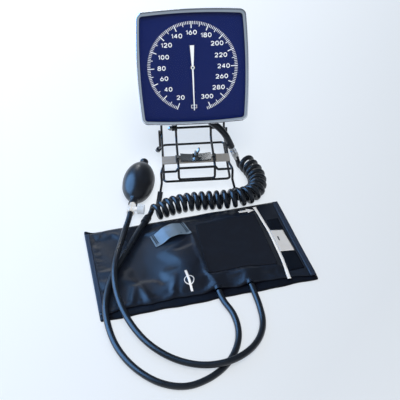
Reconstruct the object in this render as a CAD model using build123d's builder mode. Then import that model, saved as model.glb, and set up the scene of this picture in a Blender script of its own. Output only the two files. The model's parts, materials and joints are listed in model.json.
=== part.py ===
"""Desk sphygmomanometer: square gauge head on a bent-wire stand, coiled hose, cuff, bulb and valve.

Millimetres, +X to the right, +Y to the back, +Z up. The origin is on the table, under the middle
of the whole set. The head has a frame of its own: u to the right, v up the face, n out of the face.
"""
import os
from math import asin, cos, degrees, pi, radians, sin, sqrt, tan

from build123d import *

os.makedirs("parts", exist_ok=True)

# Places of the main groups on the table
stand_x = 9.4
stand_y = 111.9
cuff_x = 0.0
cuff_y = -74.1
cuff_turn = 10.1

# Fits shared by the whole set
running_gap = 0.05
side_gap = 0.15
seat_gap = 0.2
finger_gap = 0.35

# Gauge head: outline, depth and lean
head_z = 171.3
head_lean = 20.0
face_width = 143.5
face_height = 147.0
face_bulge = 3.0
face_corner = 9.0
least_corner = 1.0
bezel_rim = 4.8
bezel_front = 8.0
bezel_skirt = 9.0
bezel_wall = 1.4
bezel_round = 2.6
bezel_lip = 1.5
case_depth = 30.0
case_wall = 2.2
case_draw = 3.0
case_round = 5.0
dial_thick = 1.0
dial_hole_r = 3.0
lens_thick = 2.0
gasket_wide = 2.4

# Pointer and its arbor
pointer_reach = 57.5
pointer_tail = 29.3
pointer_tail_wide = 5.7
pointer_hub_r = 2.4
pointer_thick = 0.5
pointer_lift = 2.0
pointer_root_wide = 2.2
pointer_tip_wide = 1.2
arbor_r = 1.0
arbor_cap_r = 1.2
arbor_cap_high = 0.8

# Movement: plates, gears, rocker and capsule
gear_module = 0.5
pinion_teeth = 10
sector_ratio = 10
scale_sweep = 337.5
tooth_rise = 0.42
tooth_sink = 0.62
tooth_root_share = 0.52
tooth_tip_share = 0.22
gear_thick = 1.2
pinion_long = 3.0
sector_margin = 9.0
sector_hub_r = 3.0
sector_arm = 4.0
sector_pin_r = 0.7
sector_pin_long = 1.9
plate_thick = 1.2
front_plate_n = -5.0
back_plate_n = -15.0
plate_half_wide = 30.0
plate_top = 14.0
plate_foot = -64.0
pillar_r = 2.2
pillar_inset = 4.5
plate_screw_r = 1.4
plate_screw_head_r = 2.6
plate_screw_head = 1.6
plate_screw_grip = 6.0
rocker_r = 0.9
rocker_long = 12.0
rocker_n = -17.0
rocker_rise = 6.0
rocker_contact = 5.25
rocker_reach = 6.0
rocker_tip_r = 0.8
rocker_ear = 1.2
capsule_r = 20.0
capsule_thick = 3.0
capsule_stack = 2
capsule_neck_r = 6.0
capsule_neck = 0.4
capsule_boss_r = 2.5
capsule_pip_r = 0.6
hairspring_turns = 4
hairspring_thick = 0.25
hairspring_high = 0.8
hairspring_pitch = 1.1
collet_r = 1.8

# Inlet on the back of the case
inlet_u = 5.0
inlet_v = -52.0
inlet_body_r = 6.0
inlet_out = 7.0
inlet_side_turn = 20.0
inlet_barb_r = 3.6
inlet_barb_long = 7.0

# Wire stand
wire_d = 3.4
frame_half = 46.2
ring_z = 25.0
rail_z = 42.0
front_y = -56.0
rear_y = 35.0
ring_corner = 5.0
back_top_z = 118.0
front_foot = (54.4, -68.4)
rear_foot = (52.8, 53.2)
rear_leg_y = 33.0
rear_leg_top = 52.0
foot_r = 3.7
foot_long = 15.0
foot_bore_end = 4.5
rim_rise = 5.0
rim_step_half = 29.0
rim_step_run = 3.0
rim_bend = 2.7
rim_weld = 0.8
rail_step = 13.6
front_leg_bend = 6.0
front_bend = 4.0
rail_bend = 14.0
back_low_bend = 8.0
back_top_bend = 12.0
rear_leg_bend = 6.8

# Hanger, tilt rod and yoke
hanger_half = 25.3
rod_y = 17.0
rod_z = 66.0
rod_r = 1.7
hanger_rise_bend = 7.0
hanger_front_bend = 4.0
yoke_low_bend = 20.0
yoke_top_bend = 8.0
eye_r = 4.2
eye_wide = 3.8
nut_r = 3.7
nut_long = 3.2
nut_dome = 2.6
yoke_top_v = 18.0
clip_v = 2.0
clip_wide = 9.0
clip_thick = 1.2
clip_ear = 8.0
clip_screw_r = 1.6
clip_screw_head_r = 3.0
clip_screw_head = 1.8

# Clamp that holds the hanger on the stand
plate_y = -32.0
plate_wide = 17.5
strip_thick = 1.5
strap_thick = 1.2
strap_wide = 17.0
strap_tab = 6.0
strap_sag = 2.4
bolt_r = 2.0
bolt_head_r = 4.6
bolt_head = 1.8
bolt_top = 9.5
wing_hub_r = 3.6
wing_hub = 4.2
wing_span = 20.0
wing_high = 9.5
wing_thick = 1.8
wing_turn = 55.0
wing_root = 2.6
wing_root_low = 1.3
washer_r = 4.5
washer_thick = 0.8

# Hoses
tube_d = 7.6
coil_d = 7.0
head_hose_d = 9.6
coil_outer = 27.0
coil_turns = 22
coil_end_share = 0.84
coil_taper_share = 0.1
coil_tighter = 0.12
coil_start_angle = -45.0
coil_step = 0.0005
spine_share = 0.49
sleeve_before = 4.0
sleeve_after = 9.5
sleeve_wall = 0.9
sleeve_rings = 3
sleeve_ring = 0.5
sleeve_ring_long = 1.6
corner_share = 0.45
inlet_run = 12.0
valve_run = 15.0
port_run = 14.0

# Connector between the head's hose and the coil
joint_ring_r = 4.8
joint_ring_long = 5.0
joint_ring_round = 0.4
joint_neck_r = 3.4
joint_neck_long = 5.6
joint_hex_r = 4.9
joint_hex_long = 5.4
joint_tail_r = 4.2
joint_tail_long = 4.6
joint_socket_long = 4.6

# Bulb and its two valves
bulb_x = -72.7
bulb_y = 61.4
bulb_z = 22.3
bulb_heading = 79.5
bulb_pitch = 3.5
bulb_r = 22.0
bulb_half_long = 37.0
bulb_wall = 2.6
neck_r = 6.0
neck_long = 46.0
neck_bore_r = 3.5
valve_r = 4.75
valve_long = 17.0
valve_plug_long = 9.0
valve_bore_r = 1.3
valve_collar_r = 5.3
valve_collar = 3.4
boss_r = 3.4
boss_out = 8.0
boss_back = 12.0
screw_r = 1.8
screw_seat = 2.4
knob_r = 6.6
knob_long = 8.5
knob_ribs = 24
knob_rib = 0.5
knob_gap = 0.8
inlet_flange_r = 5.2
inlet_flange = 1.6
inlet_plug_long = 9.0
inlet_hole_r = 0.9
ball_r = 1.4
ball_chamber_r = 1.75

# Cuff, folded once at its left end
cuff_long = 270.0
cuff_wide = 157.0
cuff_step = 11.0
flap_short = 2.0
flap_back_step = 3.5
cloth = 2.6
fold_gap = 0.6
cuff_round = 5.0
pouch_high = 4.6
pouch_left = -57.0
pouch_right = 98.0
pouch_front = -60.0
pouch_back = 66.0
pouch_slope = 6.0
sleeve_r = 5.0
bladder_gap = 0.4
pouch_skin = 1.4
port_a = (9.5, 50.0)
port_z = 7.0
port_out = 4.0
port_in = 20.0
hem_wide = 7.0
hem_thick = 0.7
panel_left = 2.0
panel_right = 91.0
panel_front = -46.0
panel_back = 50.0
panel_thick = 0.8
hook_left = 104.5
hook_wide = 18.0
hook_front = -59.0
hook_back = 40.0
hook_thick = 0.9
tag_left = 103.6
tag_wide = 17.0
tag_front = -25.0
tag_back = 18.0
tag_thick = 0.5
tape_centre = (-25.6, 39.8)
tape_turn = 11.5
tape_long = 51.0
tape_flat = 8.0
tape_wide = 25.0
tape_thick = 1.1
tape_arch = 4.0

# Frames used below
head = Plane(
    origin=(stand_x, stand_y, head_z),
    x_dir=(1, 0, 0),
    z_dir=(0, -cos(radians(head_lean)), sin(radians(head_lean))),
)
cuff = Plane(
    origin=(cuff_x, cuff_y, 0),
    x_dir=(cos(radians(cuff_turn)), sin(radians(cuff_turn)), 0),
    z_dir=(0, 0, 1),
)


def on_head(u, v, n):
    """The point of the part's frame at u, v, n of the head."""
    return head.from_local_coords(Vector(u, v, n))


def on_stand(x, y, z):
    """The point of the part's frame at x, y, z of the stand."""
    return Vector(stand_x + x, stand_y + y, z)


def on_cuff(a, b, z):
    """The point of the part's frame at a along, b across and z above the folded cuff."""
    return cuff.from_local_coords(Vector(a, b, z))


def mirrored(points):
    """Points of one side of the stand, then the same points of the other side in reverse."""
    return points + [(-x, y, z) for x, y, z in reversed(points)]


def bent_wire(points, radii, diameter):
    """A round wire or tube along straight runs joined by tangent arcs of the given radii."""
    with BuildPart() as wire:
        with BuildLine() as path:
            FilletPolyline(*points, radius=radii)
        with BuildSketch(Plane(origin=path.line @ 0, z_dir=path.line % 0)):
            Circle(diameter / 2)
        sweep(path=path.line)
    return wire.part


def corner_radii(points, share):
    """The radius at each corner of a cord: a share of its shorter run over the tangent of half the turn."""
    radii = []
    for before, here, after in zip(points, points[1:], points[2:]):
        into = Vector(here) - Vector(before)
        out = Vector(after) - Vector(here)
        half_turn = radians(into.get_angle(out)) / 2
        radii.append(share * min(into.length, out.length) / tan(half_turn))
    return radii


def face_outline(inset):
    """The head's rounded square with bowed sides, drawn inset from the bezel's edge."""
    half_w = face_width / 2 - inset
    half_h = face_height / 2 - inset
    with BuildSketch() as outline:
        with BuildLine():
            ThreePointArc((-half_w, half_h), (0, half_h + face_bulge), (half_w, half_h))
            ThreePointArc((half_w, half_h), (half_w + face_bulge, 0), (half_w, -half_h))
            ThreePointArc((half_w, -half_h), (0, -half_h - face_bulge), (-half_w, -half_h))
            ThreePointArc((-half_w, -half_h), (-half_w - face_bulge, 0), (-half_w, half_h))
        make_face()
        fillet(outline.vertices(), max(face_corner - inset, least_corner))
    return outline.sketch


# Bezel: a bright frame around the face, with a skirt that slips over the case
lens_n = bezel_front - bezel_lip
with BuildPart() as bezel:
    with BuildSketch(head.offset(bezel_front)):
        add(face_outline(0))
    extrude(amount=-(bezel_front + bezel_skirt))
    fillet(bezel.faces().sort_by(Axis(head.origin, head.z_dir))[-1].edges(), bezel_round)
    with BuildSketch(head.offset(bezel_front)):
        add(face_outline(bezel_rim))
    extrude(amount=-bezel_lip, mode=Mode.SUBTRACT)
    with BuildSketch(head.offset(lens_n)):
        add(face_outline(bezel_wall))
    extrude(amount=-(lens_n + bezel_skirt), mode=Mode.SUBTRACT)
bezel.part.label = "bezel"
export_step(bezel.part, "parts/bezel.step")

# Rear case: a tapered dish with four bosses for the movement
case_inset = bezel_wall + running_gap
case_front_n = -dial_thick
case_floor_n = -case_depth + case_wall
boss_u = plate_half_wide - pillar_inset
boss_places = [
    (-boss_u, plate_top - pillar_inset),
    (boss_u, plate_top - pillar_inset),
    (-boss_u, plate_foot + pillar_inset),
    (boss_u, plate_foot + pillar_inset),
]
back_plate_back = back_plate_n - plate_thick
with BuildPart() as rear_case:
    with BuildSketch(head.offset(case_front_n)):
        add(face_outline(case_inset))
    extrude(amount=-(bezel_skirt - dial_thick))
    with BuildSketch(head.offset(-bezel_skirt)):
        add(face_outline(case_inset))
    with BuildSketch(head.offset(-case_depth)):
        add(face_outline(case_inset + case_draw))
    loft(ruled=True)
    fillet(rear_case.faces().sort_by(Axis(head.origin, head.z_dir))[0].edges(), case_round)
    with BuildSketch(head.offset(case_front_n)):
        add(face_outline(case_inset + case_wall))
    extrude(amount=-(bezel_skirt - dial_thick), mode=Mode.SUBTRACT)
    with BuildSketch(head.offset(-bezel_skirt)):
        add(face_outline(case_inset + case_wall))
    with BuildSketch(head.offset(case_floor_n)):
        add(face_outline(case_inset + case_wall + case_draw))
    loft(ruled=True, mode=Mode.SUBTRACT)
    with BuildSketch(head.offset(case_floor_n)):
        with Locations(*boss_places):
            Circle(pillar_r + case_wall)
    extrude(amount=back_plate_back - case_floor_n)
    with BuildSketch(head.offset(back_plate_back)):
        with Locations(*boss_places):
            Circle(plate_screw_r)
    extrude(amount=-plate_screw_grip, mode=Mode.SUBTRACT)
    with BuildSketch(head.offset(case_floor_n)):
        with Locations((inlet_u, inlet_v)):
            Circle(inlet_barb_r)
    extrude(amount=-case_wall, mode=Mode.SUBTRACT)
rear_case.part.label = "rear_case"
export_step(rear_case.part, "parts/rear_case.step")

# Dial plate, seated on the case's rim
with BuildPart() as dial_plate:
    with BuildSketch(head):
        add(face_outline(bezel_wall + running_gap))
        Circle(dial_hole_r, mode=Mode.SUBTRACT)
    extrude(amount=-dial_thick)
dial_plate.part.label = "dial_plate"
export_step(dial_plate.part, "parts/dial_plate.step")

# Gasket between the dial plate and the lens
lens_back = lens_n - lens_thick
with BuildPart() as lens_gasket:
    with BuildSketch(head):
        add(face_outline(bezel_wall + running_gap))
    extrude(amount=lens_back)
    with BuildSketch(head):
        add(face_outline(bezel_wall + running_gap + gasket_wide))
    extrude(amount=lens_back, mode=Mode.SUBTRACT)
lens_gasket.part.label = "lens_gasket"
export_step(lens_gasket.part, "parts/lens_gasket.step")

# Clear lens, held between the gasket and the bezel's lip
with BuildPart() as dial_lens:
    with BuildSketch(head.offset(lens_back)):
        add(face_outline(bezel_wall + running_gap))
    extrude(amount=lens_thick)
dial_lens.part.label = "dial_lens"
export_step(dial_lens.part, "parts/dial_lens.step")

# Pointer: a thin needle down to the zero mark, and a tail that widens upwards
pointer_n = pointer_lift
with BuildPart() as pointer:
    with BuildSketch(head.offset(pointer_n)):
        with BuildLine():
            Polyline(
                (-pointer_tip_wide / 2, -pointer_reach),
                (-pointer_root_wide / 2, 0),
                (pointer_root_wide / 2, 0),
                (pointer_tip_wide / 2, -pointer_reach),
                close=True,
            )
        make_face()
        with BuildLine():
            Polyline(
                (-pointer_root_wide / 2, 0),
                (-pointer_tail_wide / 2, pointer_tail),
                (pointer_tail_wide / 2, pointer_tail),
                (pointer_root_wide / 2, 0),
                close=True,
            )
        make_face()
        Circle(pointer_hub_r)
        Circle(arbor_r, mode=Mode.SUBTRACT)
    extrude(amount=pointer_thick)
pointer.part.label = "pointer"
export_step(pointer.part, "parts/pointer.step")


def toothed_outline(teeth, first, last, turn):
    """Corner points of a run of short straight-sided teeth, first to last, about the gear's centre."""
    pitch_r = gear_module * teeth / 2
    step = 2 * pi / teeth
    corners = []
    for k in range(first, last + 1):
        middle = k * step + turn
        for radius, share, side in (
            (pitch_r - tooth_sink, tooth_root_share, -1),
            (pitch_r + tooth_rise, tooth_tip_share, -1),
            (pitch_r + tooth_rise, tooth_tip_share, 1),
            (pitch_r - tooth_sink, tooth_root_share, 1),
        ):
            angle = middle + side * share * step / 2
            corners.append((radius * cos(angle), radius * sin(angle)))
    return corners


# Pointer arbor with its pinion and the end cap that shows in the pointer's hub
pinion_r = gear_module * pinion_teeth / 2
sector_teeth = pinion_teeth * sector_ratio
sector_r = gear_module * sector_teeth / 2
sector_n = (front_plate_n + back_plate_n - plate_thick) / 2 + gear_thick
pinion_n = sector_n - gear_thick / 2 + pinion_long / 2
with BuildPart() as pointer_arbor:
    with BuildSketch(head.offset(back_plate_back)):
        Circle(arbor_r)
    extrude(amount=pointer_n + pointer_thick - back_plate_back)
    with BuildSketch(head.offset(pointer_n + pointer_thick)):
        Circle(arbor_cap_r)
    extrude(amount=arbor_cap_high)
    with BuildSketch(head.offset(pinion_n)):
        with BuildLine():
            Polyline(*toothed_outline(pinion_teeth, 0, pinion_teeth - 1, pi / 2), close=True)
        make_face()
    extrude(amount=-pinion_long)
pointer_arbor.part.label = "pointer_arbor"
export_step(pointer_arbor.part, "parts/pointer_arbor.step")

# Sector gear on its own arbor below, with a tail pin for the rocker
sector_swing = scale_sweep / sector_ratio
sector_v = -(pinion_r + sector_r)
sector = Plane(
    origin=on_head(0, sector_v, 0),
    x_dir=head.x_dir.rotate(Axis((0, 0, 0), head.z_dir), -sector_swing / 2),
    z_dir=head.z_dir,
)
tooth_angle = 360 / sector_teeth
mesh_phase = radians(tooth_angle / 2)
with BuildPart() as sector_gear:
    with BuildSketch(Plane(origin=on_head(0, sector_v, sector_n), x_dir=head.x_dir, z_dir=head.z_dir)):
        with BuildLine():
            at_rest = pi / 2 + mesh_phase
            left_teeth = round(sector_margin / tooth_angle)
            right_teeth = round((sector_swing + sector_margin) / tooth_angle)
            Polyline((0, 0), *toothed_outline(sector_teeth, -right_teeth, left_teeth, at_rest), close=True)
        make_face()
        Circle(sector_hub_r)
    extrude(amount=-gear_thick)
    with BuildSketch(Plane(origin=on_head(0, sector_v, sector_n), x_dir=sector.x_dir, z_dir=head.z_dir)):
        with Locations((0, -sector_arm / 2)):
            Rectangle(sector_hub_r, sector_arm)
        with Locations((0, -sector_arm)):
            Circle(sector_hub_r / 2)
    extrude(amount=-gear_thick)
    with BuildSketch(Plane(origin=on_head(0, sector_v, sector_n), x_dir=sector.x_dir, z_dir=head.z_dir)):
        with Locations((0, -sector_arm)):
            Circle(sector_pin_r)
    extrude(amount=-(gear_thick + sector_pin_long))
    with BuildSketch(head.offset(back_plate_back)):
        with Locations((0, sector_v)):
            Circle(arbor_r)
    extrude(amount=front_plate_n - back_plate_back)
sector_gear.part.label = "sector_gear"
export_step(sector_gear.part, "parts/sector_gear.step")

# Movement plates: the front one carries the arbors' front ends, the back one stands on the case's bosses
pin_throw = sector_arm * sin(radians(sector_swing / 2))
half_rock = asin(pin_throw / rocker_contact)
capsule_lift = 2 * rocker_reach * sin(half_rock)
rocker_u = -(rocker_tip_r + sector_pin_r + finger_gap)
capsule_u = rocker_u - rocker_reach * cos(half_rock)
finger_v = sector_v - sector_arm
rocker_top_v = finger_v + rocker_tip_r + finger_gap + rocker_ear
rocker_v = rocker_top_v - rocker_long / 2
capsule_v = rocker_v - rocker_long / 2 + rocker_ear + finger_gap + rocker_tip_r
arbor_places = [(0, 0), (0, sector_v)]
plate_middle_v = (plate_top + plate_foot) / 2
with BuildPart() as movement_front_plate:
    with BuildSketch(head.offset(front_plate_n)):
        with Locations((0, plate_middle_v)):
            RectangleRounded(2 * plate_half_wide, plate_top - plate_foot, pillar_inset)
        with Locations(*boss_places):
            Circle(plate_screw_r + running_gap, mode=Mode.SUBTRACT)
        with Locations(*arbor_places):
            Circle(arbor_r + running_gap, mode=Mode.SUBTRACT)
    extrude(amount=-plate_thick)
movement_front_plate.part.label = "movement_front_plate"
export_step(movement_front_plate.part, "parts/movement_front_plate.step")

shaft = Plane(origin=on_head(rocker_u, rocker_v, rocker_n), x_dir=head.x_dir, z_dir=head.y_dir)
window_wide = rocker_reach + 2 * capsule_boss_r
window_high = rocker_long - 2 * rocker_tip_r
with BuildPart() as movement_back_plate:
    with BuildSketch(head.offset(back_plate_n)):
        with Locations((0, plate_middle_v)):
            RectangleRounded(2 * plate_half_wide, plate_top - plate_foot, pillar_inset)
        with Locations(*boss_places):
            Circle(plate_screw_r + running_gap, mode=Mode.SUBTRACT)
        with Locations(*arbor_places):
            Circle(arbor_r + running_gap, mode=Mode.SUBTRACT)
        with Locations(((rocker_u + capsule_u) / 2, rocker_v)):
            Rectangle(window_wide, window_high, mode=Mode.SUBTRACT)
    extrude(amount=-plate_thick)
    for side in (-1, 1):
        ear_v = rocker_v + side * (rocker_long - rocker_ear) / 2
        with BuildSketch(head.offset(back_plate_n)):
            with Locations((rocker_u, ear_v)):
                Rectangle(rocker_rise, rocker_ear)
        extrude(amount=rocker_n - back_plate_n - 2 * rocker_r)
    with BuildSketch(shaft):
        Circle(rocker_r + running_gap)
    extrude(amount=rocker_long / 2 + rocker_ear, both=True, mode=Mode.SUBTRACT)
movement_back_plate.part.label = "movement_back_plate"
export_step(movement_back_plate.part, "parts/movement_back_plate.step")

# Pillars between the plates, at the four screws
with BuildPart() as movement_pillars:
    with BuildSketch(head.offset(back_plate_n)):
        with Locations(*boss_places):
            Circle(pillar_r)
            Circle(plate_screw_r + running_gap, mode=Mode.SUBTRACT)
    extrude(amount=front_plate_n - plate_thick - back_plate_n)
movement_pillars.part.label = "movement_pillars"
export_step(movement_pillars.part, "parts/movement_pillars.step")

# Screws through both plates and the pillars into the bosses
with BuildPart() as movement_screws:
    with BuildSketch(head.offset(back_plate_back - plate_screw_grip)):
        with Locations(*boss_places):
            Circle(plate_screw_r)
    extrude(amount=front_plate_n - back_plate_back + plate_screw_grip)
    with BuildSketch(head.offset(front_plate_n)):
        with Locations(*boss_places):
            Circle(plate_screw_head_r)
    extrude(amount=plate_screw_head)
movement_screws.part.label = "movement_screws"
export_step(movement_screws.part, "parts/movement_screws.step")

# Rocker: a shaft with one finger on the capsule's boss and one against the sector's tail pin
rest_turn = -degrees(half_rock)
rocker_out = head.z_dir.rotate(Axis((0, 0, 0), tuple(head.y_dir)), rest_turn)
rocker_along = (-head.x_dir).rotate(Axis((0, 0, 0), tuple(head.y_dir)), rest_turn)
with BuildPart() as rocker:
    with BuildSketch(shaft):
        Circle(rocker_r)
    extrude(amount=rocker_long / 2, both=True)
    with BuildSketch(Plane(origin=on_head(rocker_u, finger_v, rocker_n), z_dir=rocker_out)):
        Circle(rocker_tip_r)
    extrude(amount=rocker_rise)
    with BuildSketch(Plane(origin=on_head(rocker_u, capsule_v, rocker_n), z_dir=rocker_along)):
        Circle(rocker_tip_r)
    extrude(amount=rocker_reach)
rocker.part.label = "rocker"
export_step(rocker.part, "parts/rocker.step")

# Capsule: two thin dished chambers on a post in the case, and its moving boss on top
finger_n = rocker_n - rocker_reach * sin(half_rock) - rocker_tip_r
boss_top_n = finger_n - seat_gap
capsule_top_n = boss_top_n - capsule_lift / 2
stack_high = capsule_stack * capsule_thick + (capsule_stack - 1) * capsule_neck
capsule_base_n = capsule_top_n - stack_high
with BuildPart() as capsule:
    with BuildSketch(head.offset(case_floor_n)):
        with Locations((capsule_u, capsule_v)):
            Circle(capsule_neck_r)
    extrude(amount=capsule_top_n - case_floor_n - capsule_neck)
    for layer in range(capsule_stack):
        chamber_n = capsule_base_n + layer * (capsule_thick + capsule_neck)
        with BuildSketch(head.offset(chamber_n)):
            with Locations((capsule_u, capsule_v)):
                Circle(capsule_r)
        extrude(amount=capsule_thick)
    rims = capsule.edges().filter_by(GeomType.CIRCLE).sort_by(SortBy.RADIUS)[-2 * capsule_stack :]
    fillet(rims, capsule_thick / 3)
    with BuildSketch(head.offset(case_floor_n)):
        with Locations((capsule_u, capsule_v)):
            Circle(valve_bore_r)
    extrude(amount=capsule_top_n - case_floor_n - capsule_thick / 2, mode=Mode.SUBTRACT)
capsule.part.label = "capsule"
export_step(capsule.part, "parts/capsule.step")

with BuildPart() as capsule_boss:
    with BuildSketch(head.offset(capsule_top_n)):
        with Locations((capsule_u, capsule_v)):
            Circle(capsule_boss_r)
    extrude(amount=(boss_top_n - capsule_top_n) / 2)
    with BuildSketch(head.offset(capsule_top_n)):
        with Locations((capsule_u, capsule_v)):
            Circle(capsule_pip_r)
    extrude(amount=boss_top_n - capsule_top_n)
capsule_boss.part.label = "capsule_boss"
export_step(capsule_boss.part, "parts/capsule_boss.step")

# Hairspring: a flat spiral of half turns from the arbor's collet to a stud on the front plate
spring_n = front_plate_n - plate_thick - hairspring_high - seat_gap
with BuildPart() as hairspring:
    with BuildSketch(head.offset(spring_n)):
        with BuildLine():
            radius = collet_r
            centre = 0.0
            for half in range(2 * hairspring_turns):
                side = 1 if half % 2 == 0 else -1
                start = centre + side * radius
                far = start - side * (2 * radius + hairspring_pitch / 2)
                middle = (start + far) / 2
                ThreePointArc((start, 0), (middle, side * (radius + hairspring_pitch / 4)), (far, 0))
                radius = abs(far - start) / 2 + hairspring_pitch / 4
                centre = far + side * radius
            offset(amount=hairspring_thick / 2, kind=Kind.ARC)
        make_face()
    extrude(amount=hairspring_high)
hairspring.part.label = "hairspring"
export_step(hairspring.part, "parts/hairspring.step")

# Inlet fitting: a round body on the case's back with a barb that points down and to the side
inlet_way = (head.x_dir * sin(radians(inlet_side_turn)) - head.y_dir * cos(radians(inlet_side_turn)))
inlet_out_n = -case_depth - inlet_out
with BuildPart() as inlet_fitting:
    with BuildSketch(head.offset(case_floor_n)):
        with Locations((inlet_u, inlet_v)):
            Circle(inlet_barb_r - running_gap)
    extrude(amount=-case_wall)
    with BuildSketch(head.offset(-case_depth)):
        with Locations((inlet_u, inlet_v)):
            Circle(inlet_body_r)
    extrude(amount=-(inlet_out + inlet_barb_r))
    barb_plane = Plane(origin=on_head(inlet_u, inlet_v, inlet_out_n), z_dir=inlet_way)
    with BuildSketch(barb_plane):
        Circle(inlet_barb_r)
    extrude(amount=inlet_body_r + inlet_barb_long)
inlet_fitting.part.label = "inlet_fitting"
export_step(inlet_fitting.part, "parts/inlet_fitting.step")

# Outer frame: one bent wire from the left front foot, over the back and down to the right front foot
post_half = frame_half + wire_d
knee_z = ring_z - wire_d / 2
outer_half = [
    (-front_foot[0], front_foot[1], foot_bore_end),
    (-post_half, front_y, knee_z),
    (-post_half, front_y, rail_z),
    (-frame_half, front_y + rail_step, rail_z),
    (-frame_half, rear_y, rail_z),
    (-frame_half, rear_y, back_top_z),
]
outer_bends = [front_leg_bend, front_bend, rail_bend, back_low_bend, back_top_bend]
outer_points = [on_stand(*point) for point in mirrored(outer_half)]
with BuildPart() as outer_frame:
    add(bent_wire(outer_points, outer_bends + outer_bends[::-1], wire_d))
outer_frame.part.label = "outer_frame"
export_step(outer_frame.part, "parts/outer_frame.step")

# Base ring: a closed rectangle of wire between the legs
with BuildPart() as base_ring:
    with BuildLine() as ring_path:
        ring_sides = ((-1, front_y), (1, front_y), (1, rear_y), (-1, rear_y))
        ring_points = [on_stand(side * frame_half, y, ring_z) for side, y in ring_sides]
        FilletPolyline(*ring_points, radius=ring_corner, close=True)
    with BuildSketch(Plane(origin=ring_path.line @ 0, z_dir=ring_path.line % 0)):
        Circle(wire_d / 2)
    sweep(path=ring_path.line)
base_ring.part.label = "base_ring"
export_step(base_ring.part, "parts/base_ring.step")

# Rear legs: a bent wire each side, beside the ring and the outer frame's upright
with BuildPart() as rear_legs:
    for side in (-1, 1):
        leg_points = [
            on_stand(side * rear_foot[0], rear_foot[1], foot_bore_end),
            on_stand(side * post_half, rear_leg_y, knee_z),
            on_stand(side * post_half, rear_leg_y, rear_leg_top),
        ]
        add(bent_wire(leg_points, [rear_leg_bend], wire_d))
rear_legs.part.label = "rear_legs"
export_step(rear_legs.part, "parts/rear_legs.step")

# Front rim: a wire between the front posts that steps up over the hanger
rim_ends = post_half - wire_d / 2 - rim_weld
rim_half = [
    (-rim_ends, front_y, rail_z),
    (-rim_step_half, front_y, rail_z),
    (-rim_step_half + rim_step_run, front_y, rail_z + rim_rise),
]
rim_points = [on_stand(*point) for point in mirrored(rim_half)]
with BuildPart() as front_rim:
    add(bent_wire(rim_points, rim_bend, wire_d))
front_rim.part.label = "front_rim"
export_step(front_rim.part, "parts/front_rim.step")

# Rubber feet: sleeves on the four leg ends, cut flat on the table
leg_ends = [
    (-front_foot[0], front_foot[1], -post_half, front_y, knee_z),
    (front_foot[0], front_foot[1], post_half, front_y, knee_z),
    (-rear_foot[0], rear_foot[1], -post_half, rear_leg_y, knee_z),
    (rear_foot[0], rear_foot[1], post_half, rear_leg_y, knee_z),
]
with BuildPart() as rubber_feet:
    for foot_x, foot_line_y, knee_x, knee_y, top_z in leg_ends:
        leg_end = on_stand(foot_x, foot_line_y, foot_bore_end)
        leg_way = (on_stand(knee_x, knee_y, top_z) - leg_end).normalized()
        with BuildSketch(Plane(origin=leg_end - leg_way * foot_bore_end * 2, z_dir=leg_way)):
            Circle(foot_r)
        extrude(amount=foot_long + foot_bore_end)
        with BuildSketch(Plane(origin=leg_end, z_dir=leg_way)):
            Circle(wire_d / 2)
        extrude(amount=foot_long, mode=Mode.SUBTRACT)
    split(bisect_by=Plane.XY)
rubber_feet.part.label = "rubber_feet"
export_step(rubber_feet.part, "parts/rubber_feet.step")

# Flat strip across the two rails, drilled for the clamp's bolt
strip_z = rail_z + wire_d / 2
hanger_z = strip_z + strip_thick + wire_d / 2
with BuildPart() as cross_strip:
    with BuildSketch(Plane(on_stand(0, plate_y, strip_z))):
        Rectangle(2 * frame_half + wire_d, plate_wide)
        Circle(bolt_r + running_gap, mode=Mode.SUBTRACT)
    extrude(amount=strip_thick)
cross_strip.part.label = "cross_strip"
export_step(cross_strip.part, "parts/cross_strip.step")

# Hanger: a bent wire that rises from the front bar, runs back on the strip and up to the tilt rod
hanger_front_y = front_y + wire_d
hanger_half_points = [
    (-hanger_half, rod_y, rod_z - rod_r - wire_d / 2),
    (-hanger_half, rod_y, hanger_z),
    (-hanger_half, hanger_front_y, hanger_z),
    (-hanger_half, hanger_front_y, ring_z),
]
hanger_bends = [hanger_rise_bend, hanger_front_bend, hanger_front_bend]
hanger_points = [on_stand(*point) for point in mirrored(hanger_half_points)]
with BuildPart() as hanger:
    add(bent_wire(hanger_points, hanger_bends + hanger_bends[::-1], wire_d))
    for side in (-1, 1):
        eye = Plane(origin=on_stand(side * hanger_half, rod_y, rod_z), z_dir=(1, 0, 0))
        with BuildSketch(eye):
            Circle(eye_r)
        extrude(amount=eye_wide / 2, both=True)
        with BuildSketch(eye):
            Circle(rod_r + running_gap)
        extrude(amount=wire_d, both=True, mode=Mode.SUBTRACT)
hanger.part.label = "hanger"
export_step(hanger.part, "parts/hanger.step")

# Tilt rod through the four eyes, with a domed nut on each end
yoke_half = hanger_half + eye_wide + side_gap
nut_x = yoke_half + eye_wide / 2 + side_gap
rod_half = nut_x + nut_long
rod_plane = Plane(origin=on_stand(0, rod_y, rod_z), z_dir=(1, 0, 0))
with BuildPart() as tilt_rod:
    with BuildSketch(rod_plane):
        Circle(rod_r)
    extrude(amount=rod_half, both=True)
tilt_rod.part.label = "tilt_rod"
export_step(tilt_rod.part, "parts/tilt_rod.step")

with BuildPart() as rod_nuts:
    for side in (-1, 1):
        nut_plane = Plane(origin=on_stand(side * nut_x, rod_y, rod_z), z_dir=(side, 0, 0))
        with BuildSketch(nut_plane):
            RegularPolygon(nut_r, 6)
        extrude(amount=nut_long)
        with BuildSketch(nut_plane.offset(nut_long)):
            Circle(nut_r * cos(pi / 6))
        with BuildSketch(nut_plane.offset(nut_long + nut_dome)):
            Circle(nut_r * cos(pi / 6) / 2)
        loft()
        with BuildSketch(nut_plane):
            Circle(rod_r)
        extrude(amount=nut_long, mode=Mode.SUBTRACT)
rod_nuts.part.label = "rod_nuts"
export_step(rod_nuts.part, "parts/rod_nuts.step")

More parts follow.
